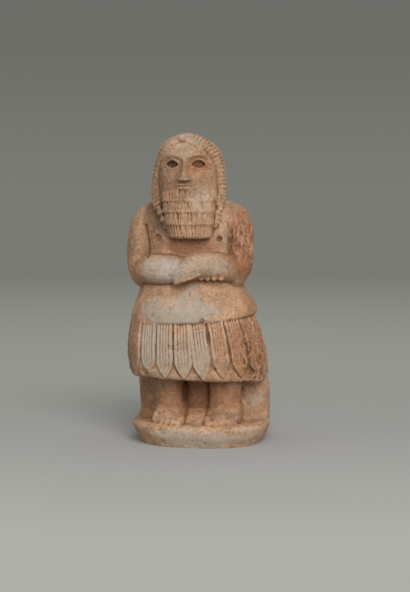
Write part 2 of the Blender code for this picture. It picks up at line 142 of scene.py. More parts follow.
HAIR = (
    (132, -8.4, 14.0, 20.0, 12.0, 2.6),
    (134, -8.4, 13.0, 21.6, 14.5, 2.6),
    (144, -8.5, 8.0, 22.8, 18.5, 2.4),
    (154, -8.1, 4.0, 23.3, 21.5, 2.2),
    (163, -8.1, 2.0, 24.1, 23.4, 2.1),
    (170, -8.2, 1.5, 24.3, 24.0, 2.1),
    (178, -8.5, 1.0, 23.4, 23.4, 2.05),
    (183.5, -8.9, 1.0, 21.6, 21.6, 2.0),
    (188, -9.6, 0.5, 18.4, 18.4, 2.0),
    (192, -9.9, 0.0, 13.6, 13.6, 2.0),
    (194.6, -10.1, 0.0, 8.2, 8.2, 2.0),
    (196, -10.2, 0.0, 2.0, 2.0, 2.0),
)
FACE = (
    (142, -7.2, -9, 18.0, 17.0, 2.3),
    (150, -7.5, -9, 20.0, 18.2, 2.3),
    (158, -7.8, -9, 21.0, 18.8, 2.25),
    (166, -8.0, -9, 21.4, 18.8, 2.2),
    (174, -8.2, -8, 21.0, 18.6, 2.2),
    (182, -8.5, -7, 19.0, 18.2, 2.1),
    (188, -8.8, -6, 14.5, 15.5, 2.0),
    (191, -9.0, -5, 8.0, 10.0, 2.0),
)
BEARD = (
    (125.4, -4.3, -22.0, 13.0, 11.6, 2.8),
    (127.4, -4.4, -22.0, 14.1, 13.8, 2.8),
    (134, -4.7, -22.0, 15.5, 13.8, 2.7),
    (142, -5.1, -21.0, 16.8, 13.0, 2.6),
    (150, -5.8, -18.0, 18.0, 12.6, 2.5),
    (156, -6.6, -15.0, 19.2, 13.6, 2.4),
    (162, -7.4, -12.5, 20.6, 14.6, 2.3),
    (168, -7.8, -11.0, 21.6, 14.6, 2.2),
    (174, -8.0, -9.0, 21.6, 14.0, 2.2),
)
LEG_RIGHT = (
    (-3, -18.4, -15.0, 9.6, 11.0, 2.4),
    (2.5, -18.4, -15.0, 9.6, 11.0, 2.4),
    (8, -18.7, -14.6, 9.0, 10.6, 2.3),
    (15, -19.2, -14.2, 8.4, 10.0, 2.2),
    (21, -19.4, -13.6, 8.4, 10.0, 2.2),
    (34, -19.2, -13.0, 9.6, 10.5, 2.2),
)
LEG_LEFT = (
    (-3, 18.0, -15.0, 11.4, 11.5, 2.4),
    (2.5, 18.0, -15.0, 11.4, 11.5, 2.4),
    (8, 18.0, -14.6, 11.2, 11.0, 2.4),
    (15, 18.2, -14.2, 10.8, 10.4, 2.4),
    (21, 18.2, -13.6, 10.6, 10.4, 2.4),
    (34, 18.0, -13.0, 11.4, 11.0, 2.4),
)

# Limbs: x, y, z, half size across, half size along the limb's upright
UPPER_ARM_RIGHT = (
    (-37.6, 1, 136, 10.2, 13.0),
    (-40.4, -2, 129, 9.8, 14.4),
    (-41.4, -4, 118, 9.6, 15.0),
    (-41.0, -6, 106, 9.2, 14.4),
    (-39.6, -8, 101, 8.6, 12.0),
)
UPPER_ARM_LEFT = (
    (22.6, 1, 137, 10.4, 13.0),
    (25.8, -2, 129, 9.6, 14.4),
    (27.0, -4, 118, 9.2, 15.0),
    (26.2, -6, 106, 9.0, 14.4),
    (24.0, -8, 101, 8.6, 12.0),
)
FOREARM_RIGHT = (
    (-40, -12, 103.5, 7.5, 9.2),
    (-30, -22, 104.5, 8.5, 9.8),
    (-18, -26.5, 104.6, 8.2, 9.4),
    (-6, -26.6, 104.2, 6.6, 7.2),
    (4, -25.4, 103.8, 5.8, 5.8),
)
FOREARM_LEFT = (
    (24, -12, 104.0, 8.0, 9.0),
    (17, -22.5, 106.4, 8.0, 9.0),
    (7, -28.5, 107.6, 7.4, 8.6),
    (-3, -30.5, 106.8, 6.4, 7.8),
)
HAND_LEFT = ((0, -32.2, 106.6, 4.4, 7.6), (-6, -33.2, 104.6, 3.8, 6.8), (-10, -32.8, 103.0, 3.0, 5.2))
HAND_RIGHT = ((2, -25.0, 102.6, 4.6, 4.2), (12, -25.2, 101.8, 4.0, 3.4))
HAIR_EDGE = (
    (-10.5, -17.0, 191.0, 2.8, 2.8),
    (-18.6, -17.5, 187.0, 2.8, 2.8),
    (-25.0, -16.0, 179.0, 2.8, 2.8),
    (-28.4, -15.0, 168.0, 2.8, 2.8),
    (-28.9, -16.0, 156.0, 3.0, 3.0),
    (-26.6, -21.0, 146.0, 3.2, 3.0),
    (-22.6, -24.0, 137.0, 2.8, 2.8),
    (-19.0, -25.0, 128.5, 2.0, 2.4),
)
BRAID = (
    (-9.0, -17.0, 190.5, 3.2, 3.2),
    (-1.0, -16.5, 187.5, 4.0, 3.8),
    (7.6, -14.0, 180.0, 4.4, 4.2),
    (12.2, -12.5, 169.0, 4.6, 4.4),
    (13.2, -13.0, 157.0, 4.6, 4.4),
    (13.0, -17.6, 147.0, 3.8, 3.6),
    (12.4, -20.4, 139.0, 3.0, 2.8),
    (11.0, -20.8, 133.5, 2.0, 2.2),
)
HAIRLINE = (
    (-8.6, -18.0, 190.0, 1.2, 1.2),
    (-2.0, -20.0, 188.0, 1.2, 1.2),
    (4.4, -20.0, 182.0, 1.2, 1.2),
    (8.2, -18.6, 174.0, 1.1, 1.1),
    (10.0, -17.2, 165.0, 1.0, 1.0),
    (10.6, -17.0, 157.0, 0.8, 0.8),
)

# The pillar and the ramp between the legs
PILLAR = ((-1.0, -8, 30, 8.6, 5.0), (-1.0, -7, 14, 8.4, 4.4), (-1.0, -3.5, 0, 9.0, 5.0))
RAMP = ((-1.2, -3, 7.6, 12.0, 4.4), (-1.2, -13, 4.8, 12.0, 4.0), (-1.2, -28, -0.6, 12.0, 2.0))

# Edges of the dress
HEM_SLOPE = -0.026
HEM_LIFT = 1.8
WRAP_SLOPE = 0.034
WRAP_CURVE = 0.0022

# Drilled nipples: x, z, radius, depth
NIPPLES = ((-27.0, 125.6, 2.4, 1.8), (14.4, 124.8, 2.2, 2.8))

# Skirt tongues
TONGUE_TOP = 73.0
TONGUE_TIP = 30.2
TONGUE_POINT_SHARE = 0.25
TONGUE_RAISE = 1.7
TONGUE_START = 0.066
TONGUE_WIDTH_SHARE = 0.91
TONGUE_TAPER = 0.15
TONGUE_SUNK = 2.6
RIGHT_TIP_RISE = 3.0
LEFT_TIP_RISE = 2.4
RIB_PITCH = 0.36
RIB_DEPTH = 0.8

# Beard
BEARD_TIERS = (126.0, 134.2, 142.3, 150.6, 157.4)
TIER_STEP = 0.8
BEARD_TOP = 156.4
BEARD_TOP_CURVE = 0.045
BEARD_HALF_TURN = 1.3
TOP_TIER_DROP = 0.9

# Hair
HAIR_STRANDS = 34
STRAND_DEPTH = 1.0
WAVE_LENGTH = 8.5
RIDGE_TURN = 0.112
SIDE_RIDGES = 17
THIN_LOCK_BELOW = 148
THIN_LOCK_SHARE = 0.5
CURL_SHIFT = 0.8
BRAID_SHIFT = 1.0
BRAID_SHARES = (0.78, 0.88)
KNOT_SIZE = (2.1, 2.4, 2.0)
KNOT_PLACE = (-10.8, -19.4, 192.2)

# Face, drawn up on the rule that the eyes stand halfway between the chin and the crown
CHIN = 153.0
EYE_LINE = (CHIN + FIGURE_MODULES) / 2
NOSE_BASE = (CHIN + EYE_LINE) / 2
MOUTH_LINE = NOSE_BASE - (NOSE_BASE - CHIN) / 3
FACE_MIDDLE = -8.0
EYE_SPREAD = 8.8
EYE_HALF_WIDTH = 4.6
EYE_RISE = 2.9
EYE_DROP = 2.2
SOCKET_DEPTH = 4.6
BROW_RISE = 6.6
NOSE_HALF_WIDTH = 2.0
NOSE_WIDENING = 1.6
NOSE_BRIDGE = 1.8
NOSE_GROWTH = 3.6
CHEEK_DEPTH = 1.2
UPPER_LIP_HALF_WIDTH = 5.6
LOWER_LIP_HALF_WIDTH = 4.8
LIP_DEPTH = 2.2

# Stage, in metres. The floor's tones are shares of the backdrop's colour: in front, beside and far away.
# They paint the light on the floor's glowing outer part, which falls off away from the figure
STAGE_SIDES = 96
STAGE_RADIUS = 6.0
WALL_HEIGHT = 3.0
FLOOR_TONES = (2.2, 1.54, 1.0)
FLOOR_RINGS = 24
FLOOR_FIRST_RING = 0.05
FLOOR_FADE = (0.05, 0.36)
FLOOR_DARKENING = (0.25, 1.7)
FLOOR_FRONT = (-0.3, 0.1)
WALL_FADE = (0.0, 0.9)
WALL_RINGS = 7
WALL_TOP_TONE = 0.78
FILL_COLOUR = (1.0, 0.98, 0.95, 1.0)
# Soft lights: name, place, size, share of the key light's power
SOFT_LIGHTS = (("key_light", (0.54, -1.38, 0.98), 1.2, 1.0), ("side_light", (-1.1, -0.5, 0.5), 0.8, 0.05))

# Camera of the photograph, in degrees, and in metres but for the lens and its sensor in mm
CAMERA_AZIMUTH = 8.0
CAMERA_ELEVATION = 5.0
CAMERA_DISTANCE = 1.018
CAMERA_SHIFT = 0.00206
CAMERA_LENS = 90
CAMERA_SENSOR = 36
LOOKED_AT = Vector((0, 0, 0.0991))

# Where the stone is eroded rough: middle x, y, z above the ground, reach x, y, z, depth, all in mm
ROUGH_PLACES = (
    ((31, -8, 138), (13, 18, 24), 2.2),
    ((40, -16, 60), (20, 26, 27), 1.45),
    ((38, -10, 33), (13, 18, 15), 0.7),
    ((36, -24, 14), (15, 15, 6), 0.8),
    ((-8, -36, 12), (40, 10, 4), 0.45),
    ((-20, -26, 31), (12, 14, 9), 0.3),
    ((-44, -10, 62), (10, 22, 26), 0.45),
    ((19, -28, 24), (13, 14, 12), 0.6),
    ((16, -14, 182), (7, 12, 18), 0.35),
    ((14, -18, 162), (6, 12, 20), 0.75),
    ((-30, -16, 172), (6, 12, 22), 0.4),
    ((34, 4, 150), (12, 14, 8), 0.6),
)
# Where handling and cleaning wore the carving smooth
SMOOTH_PLACES = (
    ((5, -30, 167), (12, 12, 14), 1.0),
    ((8, -32, 150), (8, 12, 9), 0.35),
    ((22, -34, 18), (11, 10, 5), 0.9),
    ((-18, -36, 18), (13, 9, 5), 0.5),
    ((-30, -18, 171), (9, 16, 12), 0.5),
    ((-12, -34, 119), (26, 14, 12), 0.5),
    ((9.5, -37, 58), (5.0, 7, 14), 1.0),
    ((-27, -30, 52), (4.5, 8, 9), 0.4),
)
# Knocks and flaked chips: middle x, y, z, radius, depth, all in mm
CHIPS = (
    (-44, -14, 14, 3.0, 1.2),
    (-30, -31, 8, 3.2, 1.0),
    (-24, -38, 13, 2.4, 0.7),
    (24, -36, 11, 4.2, 1.1),
    (32, -31, 10, 3.0, 1.0),
    (41, -20, 14, 3.0, 1.2),
    (10, -42, 13.5, 2.4, 0.6),
    (-4, -42, 13.8, 2.0, 0.5),
    (43, -8, 17, 3.2, 1.2),
    (46.5, -4, 84, 2.6, 1.0),
    (-34.5, -28.5, 49.5, 3.6, 1.2),
    (5.6, -36.5, 84.2, 3.4, 1.0),
    (-12, -29.5, 131, 1.5, 1.6),
    (-15, -36, 109.5, 1.6, 1.2),
    (-31, -29, 109, 1.2, 0.7),
    (20, 25, 60, 4.0, 0.8),
    (-26, 33, 30, 4.5, 1.0),
    (-14, 26, 140, 3.5, 0.6),
)
# Lines cut across the front with the chisel's edge: start x, z and end x, z, half width, depth, all in mm
CUTS = (
    ((-36.2, 148.0), (-34.6, 139.0), 1.6, 1.5),
    ((-34.6, 139.0), (-33.7, 128.0), 1.8, 2.1),
    ((20.6, 150.0), (20.8, 131.0), 1.8, 0.6),
)

# Dark colour deep in the eye sockets: its colour, and how much of it the figure's left socket takes
SOCKET_DARK = (0.090, 0.030, 0.012, 1.0)
LEFT_SOCKET_DARK = 0.75


def soften(value, low, high):
    """0 below low and 1 above high, with an eased rise between them."""
    share = np.clip((value - low) / (high - low), 0, 1)
    return share * share * (3 - 2 * share)


def bump(distance_squared):
    """A round swelling of height 1 that fades at a distance of about 2."""
    return np.exp(-distance_squared)


def eased(stations, at):
    """The stations' values at the positions, on a curve that never swings past a station."""
    table = np.array(stations, float)
    position, values = table[:, 0], table[:, 1:]
    step = np.diff(position)[:, None]
    slope = np.diff(values, axis=0) / step
    same_way = slope[:-1] * slope[1:] > 0
    total = np.where(same_way, slope[:-1] + slope[1:], 1.0)
    middle = np.where(same_way, 2 * slope[:-1] * slope[1:] / total, 0)
    tangent = np.vstack([slope[:1], middle, slope[-1:]])
    at = np.clip(at, position[0], position[-1])
    index = np.clip(np.searchsorted(position, at) - 1, 0, len(position) - 2)
    width = step[index]
    share = (at - position[index])[:, None] / width
    low, high = values[index], values[index + 1]
    rise = share**3 - 2 * share**2 + share
    fall = share**3 - share**2
    blend = 3 * share**2 - 2 * share**3
    return low + (high - low) * blend + (rise * tangent[index] + fall * tangent[index + 1]) * width


def lattice_noise(points, size, seed):
    """Smooth noise between -1 and 1, whose lumps are about that size across."""
    place = points / size + 40.5
    corner = np.floor(place).astype(np.int64)
    share = place - corner
    share = share * share * (3 - 2 * share)
    total = np.zeros(len(points))
    for step in np.ndindex(2, 2, 2):
        key = (corner + step) @ np.array((73856093, 19349663, 83492791)) + seed * 2654435761
        key = ((key ^ (key >> 15)) * 2246822519) & 0xFFFFFFFF
        key = ((key ^ (key >> 13)) * 3266489917) & 0xFFFFFFFF
        weight = np.prod(np.where(step, share, 1 - share), axis=1)
        total += weight * ((key >> 8) & 0xFFFF) / 32767.5
    return total - 1


def layered_noise(points, size, layers, seed):
    """Noise with finer and fainter noise laid over it."""
    total, height = np.zeros(len(points)), 1.0
    for layer in range(layers):
        total += height * lattice_noise(points, size / 2**layer, seed + layer)
        height *= 0.5
    return total


# Forms

def skin(rings):
    """A closed skin of triangles over rings of points, as (points, triangles), capped at both ends."""
    count, around = rings.shape[:2]
    points = np.vstack([rings.reshape(-1, 3), rings[0].mean(axis=0), rings[-1].mean(axis=0)])
    turn = np.arange(around)
    after = (turn + 1) % around
    below = (np.arange(count - 1) * around)[:, None]
    above = below + around
    near = np.stack([below + turn, below + after, above + after], axis=2).reshape(-1, 3)
    far = np.stack([below + turn, above + after, above + turn], axis=2).reshape(-1, 3)
    foot, crown = count * around, count * around + 1
    last = (count - 1) * around
    low_cap = np.stack([after, turn, np.full(around, foot)], axis=1)
    high_cap = np.stack([last + turn, last + after, np.full(around, crown)], axis=1)
    triangles = np.vstack([near, far, low_cap, high_cap])
    corner = points[triangles]
    volume = np.einsum("ij,ij->i", corner[:, 0], np.cross(corner[:, 1], corner[:, 2])).sum()
    return points, triangles if volume > 0 else triangles[:, ::-1]


def section(stations, z, angle):
    """Points on a form's level sections, which are rounded rectangles. z and angle may be arrays."""
    z, angle = np.broadcast_arrays(np.asarray(z, float), np.asarray(angle, float))
    sizes = eased(stations, z.ravel()).T.reshape(5, *z.shape)
    middle_x, middle_y, half_width, half_depth, squareness = sizes
    across, along = np.cos(angle), np.sin(angle)
    power = 2 / squareness
    x = middle_x + half_width * np.sign(across) * np.abs(across) ** power
    y = middle_y + half_depth * np.sign(along) * np.abs(along) ** power
    return np.stack([x, y, z], axis=-1)


def turned(stations, step=0.6, around=240, relief=None):
    """A form through level sections. relief(angle, z, points) moves its points."""
    levels = np.append(np.arange(stations[0][0], stations[-1][0], step), stations[-1][0])[:, None]
    angle = np.linspace(-math.pi / 2, 1.5 * math.pi, around, endpoint=False)[None, :]
    rings = section(stations, levels, angle)
    if relief is not None:
        rings = relief(np.broadcast_to(angle, rings.shape[:2]), levels, rings)
    return skin(rings)


def run_of(table):
    """How far along a limb each of its stations lies."""
    return np.concatenate([[0], np.cumsum(np.linalg.norm(np.diff(table[:, :3], axis=0), axis=1))])


def limb(stations, up=(0, 0, 1), step=0.5, around=48):
    """A limb with round ends. Stations: x, y, z, half size across and half size along up."""
    table = np.array(stations, float)
    run = run_of(table)
    start, end = table[0, 3:].mean(), table[-1, 3:].mean()
    ball = np.sin(np.linspace(-math.pi / 2, 0, 9))[:-1]
    body = np.linspace(0, run[-1], max(6, int(run[-1] / step)))
    along = np.concatenate([start * ball, body, run[-1] - (end * ball)[::-1]])
    scale = np.ones(len(along))
    scale[: len(ball)] = np.sqrt(np.maximum(1 - ball**2, 0.0004))
    scale[-len(ball) :] = scale[: len(ball)][::-1]
    values = eased(np.column_stack([run, table]), along)
    centre, half = values[:, :3], values[:, 3:] * scale[:, None]
    heading = np.gradient(eased(np.column_stack([run, table[:, :3]]), body), axis=0)
    heading /= np.linalg.norm(heading, axis=1)[:, None]
    first, last = (np.repeat(end, len(ball), 0) for end in (heading[:1], heading[-1:]))
    heading = np.vstack([first, heading, last])
    centre = centre + heading * (along - np.clip(along, 0, run[-1]))[:, None]
    side = np.cross(heading, np.array(up, float))
    side /= np.linalg.norm(side, axis=1)[:, None]
    over = np.cross(side, heading)
    angle = np.linspace(0, 2 * math.pi, around, endpoint=False)
    across = side[:, None] * (half[:, 0:1] * np.cos(angle))[:, :, None]
    return skin(centre[:, None] + across + over[:, None] * (half[:, 1:2] * np.sin(angle))[:, :, None])


def relief_block(front, sunk):
    """A closed block under a relief: front is a grid of points with X across, Y outward and Z up."""
    rows, columns = front.shape[:2]
    back = front.copy()
    back[:, :, 1] = front[:, :, 1].min() - sunk
    edge = np.concatenate([front, back[:, ::-1]], axis=1)
    return skin(edge)


def ellipsoid(half_x, half_y, half_z, rows=13, around=28):
    """A closed egg about its own middle."""
    rise = np.linspace(-math.pi / 2, math.pi / 2, rows + 2)[1:-1, None]
    angle = np.linspace(0, 2 * math.pi, around, endpoint=False)[None, :]
    x = half_x * np.cos(rise) * np.cos(angle)
    y = half_y * np.cos(rise) * np.sin(angle)
    z = np.broadcast_to(half_z * np.sin(rise), x.shape)
    return skin(np.stack([x, y, z], axis=2))


def moved(form, place):
    return form[0] + np.array(place, float), form[1]


def unit(vectors):
    return vectors / np.linalg.norm(vectors, axis=-1, keepdims=True)


def length_of(points, closed=False):
    ends = np.roll(points, -1, axis=0) - points
    return np.linalg.norm(ends if closed else ends[:-1], axis=1).sum()


# Meshes

def mesh_object(name, points, triangles):
    mesh = bpy.data.meshes.new(name)
    mesh.vertices.add(len(points))
    mesh.vertices.foreach_set("co", points.astype(np.float32).ravel())
    mesh.loops.add(triangles.size)
    mesh.loops.foreach_set("vertex_index", np.ascontiguousarray(triangles, dtype=np.int32).ravel())
    mesh.polygons.add(len(triangles))
    mesh.polygons.foreach_set("loop_start", np.arange(0, triangles.size, 3, dtype=np.int32))
    mesh.update(calc_edges=True)
    made = bpy.data.objects.new(name, mesh)
    bpy.context.scene.collection.objects.link(made)
    return made


def placed(points):
    """Points at the real size, standing on the plinth."""
    return points * MODULE + np.array((0, 0, PLINTH_HEIGHT))


def joined(forms):
    """The points and triangles of all the skins as one."""
    points, triangles, first = [], [], 0
    for form_points, form_triangles in forms:
        points.append(form_points)
        triangles.append(form_triangles + first)
        first += len(form_points)
    return np.vstack(points), np.vstack(triangles)


def placed_mesh(name, forms):
    """One object over all the skins."""
    points, triangles = joined(forms)
    return mesh_object(name, placed(points), triangles)


def unlinked_copy(name, form):
    """The shape that a row repeats, in metres about its own origin. It is a pattern and isn't shown."""
    points, triangles = form
    made = mesh_object(name, points * MODULE, triangles)
    bpy.context.scene.collection.objects.unlink(made)
    return made


def arrays_of(mesh):
    """A mesh's points, and its triangles as indices."""
    points = np.empty(len(mesh.vertices) * 3, np.float32)
    mesh.vertices.foreach_get("co", points)
    mesh.calc_loop_triangles()
    triangles = np.empty(len(mesh.loop_triangles) * 3, np.int32)
    mesh.loop_triangles.foreach_get("vertices", triangles)
    return points.reshape(-1, 3).astype(float), triangles.reshape(-1, 3)


def plain_mesh(made):
    """The object's mesh with its modifiers in it."""
    graph = bpy.context.evaluated_depsgraph_get()
    return bpy.data.meshes.new_from_object(made.evaluated_get(graph))


def store_mark(mesh, label, values):
    """Keeps a number or a direction on each point of a mesh."""
    kind, field = ("FLOAT_VECTOR", "vector") if values.ndim == 2 else ("FLOAT", "value")
    stored = mesh.attributes.new(label, kind, "POINT")
    stored.data.foreach_set(field, values.astype(np.float32).ravel())


# Node trees

def add_node(tree, kind, values=None, **settings):
    """A node with its settings. Each of its inputs is given as a value or as another node's output."""
    made = tree.nodes.new(kind)
    for name, value in settings.items():
        setattr(made, name, value)
    for key, value in (values or {}).items():
        if isinstance(value, bpy.types.NodeSocket):
            tree.links.new(value, made.inputs[key])
        else:
            made.inputs[key].default_value = value
    return made


def adder(tree):
    """A short way to add a node to the tree and go on from one of its outputs."""

    def add(kind, values=None, output=0, **settings):
        return add_node(tree, kind, values, **settings).outputs[output]

    return add


def new_group(name, kind, inputs, result):
    """A node group with its sockets, and the sockets that give its inputs."""
    tree = bpy.data.node_groups.new(name, kind)
    for label, socket in inputs.items():
        tree.interface.new_socket(label, in_out="INPUT", socket_type=f"NodeSocket{socket}")
    for label, socket in result.items():
        tree.interface.new_socket(label, in_out="OUTPUT", socket_type=f"NodeSocket{socket}")
    given = add_node(tree, "NodeGroupInput")
    return tree, {label: given.outputs[label] for label in inputs}


def set_inputs(modifier, values):
    """Sets a tree's inputs by their sockets' identifiers."""
    for item in modifier.node_group.interface.items_tree:
        if item.item_type == "SOCKET" and item.in_out == "INPUT" and item.name in values:
            modifier[item.identifier] = values[item.name]


# Rows of copies

def row_tree():
    """Sets copies in a row along a path, stood up by the path's upright and outward directions."""
    inputs = {
        "Path": "Geometry",
        "Copy": "Object",
        "Count": "Int",
        "Size Spread": "Float",
        "Tilt Spread": "Float",
        "Seed": "Int",
        "Stone": "Material",
    }
    tree, given = new_group("row_of_copies", "GeometryNodeTree", inputs, {"Copies": "Geometry"})
    add = adder(tree)

    def marked(label, kind):
        return add("GeometryNodeInputNamedAttribute", {"Name": label}, "Attribute", data_type=kind)

    def spread_value(input_name, middle, seed_shift):
        """A random number on each copy, within the spread to either side of the middle."""
        ends = {0: middle, 1: given[input_name]}
        low, high = (add("ShaderNodeMath", ends, operation=way) for way in ("SUBTRACT", "ADD"))
        seed = add("FunctionNodeIntegerMath", {0: given["Seed"], 1: seed_shift})
        return add("FunctionNodeRandomValue", {2: low, 3: high, "Seed": seed}, 1, data_type="FLOAT")

    curve = add("GeometryNodeMeshToCurve", {0: given["Path"]})
    values = {"Curve": curve, "Count": given["Count"]}
    stops = add("GeometryNodeCurveToPoints", values, "Points", mode="COUNT")
    ways = {0: marked("upright", "FLOAT_VECTOR"), 1: marked("outward", "FLOAT_VECTOR")}
    stand = add("FunctionNodeAxesToRotation", ways, primary_axis="Z", secondary_axis="Y")
    tilt = add("ShaderNodeCombineXYZ", {"Y": spread_value("Tilt Spread", 0.0, 1)})
    turn = add("FunctionNodeEulerToRotation", {0: tilt})
    tilted = add("FunctionNodeRotateRotation", {0: stand, 1: turn}, rotation_space="LOCAL")
    pattern = add("GeometryNodeObjectInfo", {"Object": given["Copy"]}, "Geometry")
    shifts = {"X": 2, "Y": 3, "Z": 4}
    sizes = {axis: spread_value("Size Spread", 1.0, shift) for axis, shift in shifts.items()}
    size = add("ShaderNodeCombineXYZ", sizes)
    sized = add("ShaderNodeVectorMath", {0: size, "Scale": marked("size", "FLOAT")}, operation="SCALE")
    copies = {"Points": stops, "Instance": pattern, "Rotation": tilted, "Scale": sized}
    real = add("GeometryNodeRealizeInstances", {0: add("GeometryNodeInstanceOnPoints", copies)})
    finished = add("GeometryNodeSetMaterial", {"Geometry": real, "Material": given["Stone"]})
    add_node(tree, "NodeGroupOutput", {0: finished})
    return tree


def row_of(name, path, pattern, count, closed=False, size_spread=0.0, tilt_spread=0.0, seed=0):
    """Copies of the pattern along a path of (points, uprights, outwards, sizes). Returns a plain mesh."""
    points, upright, outward, size = path
    mesh = bpy.data.meshes.new(name)
    edges = [(index, index + 1) for index in range(len(points) - 1)]
    if closed:
        edges.append((len(points) - 1, 0))
    mesh.from_pydata(placed(points).tolist(), edges, [])
    sizes = np.broadcast_to(size, len(points))
    for label, values in (("upright", upright), ("outward", outward), ("size", sizes)):
        store_mark(mesh, label, values)
    carrier = bpy.data.objects.new(name, mesh)
    bpy.context.scene.collection.objects.link(carrier)
    if "row_of_copies" not in bpy.data.node_groups:
        row_tree()
    modifier = carrier.modifiers.new("row", "NODES")
    modifier.node_group = bpy.data.node_groups["row_of_copies"]
    settings = {"Copy": pattern, "Count": count, "Size Spread": size_spread, "Tilt Spread": tilt_spread}
    set_inputs(modifier, {**settings, "Seed": seed, "Stone": bpy.data.materials[STONE]})
    made = plain_mesh(carrier)
    if not made.polygons:
        raise RuntimeError(f"the row {name} came out empty")
    bpy.data.objects.remove(carrier)
    return made


def surface_path(stations, z, z_above, angles, closed=False):
    """A path round a form at one level, with the surface's own upward and outward directions."""
    points = section(stations, z, angles)
    upright = unit(section(stations, z_above, angles) - points)
    ahead = np.roll(points, -1, 0) - np.roll(points, 1, 0) if closed else np.gradient(points, axis=0)
    outward = unit(np.cross(ahead, upright))
    middle = section(stations, z, np.linspace(0, 2 * math.pi, 64, endpoint=False)).mean(axis=0)
    facing = np.sign(((points - middle) * outward).sum(axis=1))
    return points, upright, outward * facing[:, None], 1.0


def limb_path(stations, first, last, slant=0.0, lift=0.0):
    """A path down the middle of a limb between two shares of its length, sized as the limb is."""
    table = np.array(stations, float)
    run = run_of(table)
    values = eased(np.column_stack([run, table]), np.linspace(first, last, 120) * run[-1])
    points, size = values[:, :3], values[:, 3:].mean(axis=1)
    tangent = unit(np.gradient(points, axis=0))
    away = points - np.array((FACE_MIDDLE, 0.0, 0.0))
    away[:, 2] = 0
    outward = unit(away - (away * tangent).sum(axis=1)[:, None] * tangent)
    sideways = np.cross(tangent, outward)
    upright = unit(tangent * math.cos(slant) + sideways * math.sin(slant))
    return points + outward * lift, upright, outward, size


# Body forms

def hem_rise(x, y):
    """How far the skirt's hem stands above a level one. It dips to +X and arches up in front."""
    return HEM_SLOPE * x + HEM_LIFT * soften(-y, 8, 34)


def wrap_relief(angle, z, points):
    """The wrap's edge runs uphill to +X, and steeper towards its end."""
    x = points[:, :, 0]
    points[:, :, 2] += WRAP_SLOPE * x + WRAP_CURVE * np.maximum(x, 0) ** 2
    return points


def under_skirt_relief(angle, z, points):
    """The bare skirt under the tongues stands lower than their faces."""
    lower = 1 - soften(z, TONGUE_TOP - 2, TONGUE_TOP + 2)
    rise = hem_rise(points[:, :, 0], points[:, :, 1]) * (1 - soften(z, 40, 70))
    outward = np.stack([np.cos(angle), np.sin(angle)], axis=2)
    points[:, :, :2] -= outward * (TONGUE_RAISE * lower)[:, :, None]
    points[:, :, 2] += rise
    return points


def chest_relief(angle, z, points):
    """A drilled nipple on each side of the beard."""
    front = soften(-np.sin(angle), 0.0, 0.3)
    for x, height, radius, depth in NIPPLES:
        away = np.hypot(points[:, :, 0] - x, z - height) / radius
        points[:, :, 1] += front * depth * (1 - soften(away, 0.5, 1.1))
    spine = 0.8 * bump(((points[:, :, 0] - FACE_MIDDLE) / 2.5) ** 2) * soften(np.sin(angle), 0.2, 0.8)
    points[:, :, 1] -= spine
    return points


def beard_base_relief(angle, z, points):
    """The beard's tiers, each stepping in at its top, under the hem of the one above it."""
    tiers = np.array(BEARD_TIERS[:-1])
    index = np.clip(np.searchsorted(tiers, z) - 1, 0, len(tiers) - 1)
    height = np.diff(np.array(BEARD_TIERS))[index]
    share = np.clip((z - tiers[index]) / height, 0, 1)
    front = soften(-np.sin(angle), 0.0, 0.5)
    edge = BEARD_TOP + BEARD_TOP_CURVE * (points[:, :, 0] - FACE_MIDDLE) ** 2
    above = soften(z - edge, -0.8, 0.8)
    step = TIER_STEP * (0.5 - share) - 0.7
    points[:, :, 1] += front * (5.0 * above - (1 - above) * step)
    return points


def hair_relief(angle, z, points):
    """Waved strands fall from the crown down the sides and the back."""
    wave = 0.7 * np.sin(z * 2 * math.pi / WAVE_LENGTH)
    strands = np.cos(HAIR_STRANDS * angle + wave)
    fade = soften(z, 131.5, 135) * (1 - soften(z, 189, 194))
    right_front = soften(points[:, :, 0] - FACE_MIDDLE, 1, 5) * (1 - soften(points[:, :, 1], -3, 6))
    turn = np.arctan2(z - 170, points[:, :, 0] - FACE_MIDDLE)
    ridges = np.cos(turn * 2 * math.pi / RIDGE_TURN)
    left_front = soften(FACE_MIDDLE - points[:, :, 0], 3, 7) * (1 - soften(points[:, :, 1], -3, 6))
    over_ear = (right_front + 0.6 * left_front) * soften(z, 170, 176)
    strands = strands * (1 - over_ear) + ridges * over_ear
    fade = np.maximum(fade, over_ear)
    inward = 0.5 * STRAND_DEPTH * (strands - 1) * fade
    points[:, :, 0] += inward * np.cos(angle)
    points[:, :, 1] += inward * np.sin(angle)
    points[:, :, 2] += inward * soften(z, 176, 190)
    return points


def within_eye(across, up):
    """Above 0 within an eye's outline. across is from the face's middle, and up from the eyes' line."""
    along = (np.abs(across) - EYE_SPREAD) / EYE_HALF_WIDTH
    return 1 - along**2 - np.abs(up) / np.where(up > 0, EYE_RISE, EYE_DROP)


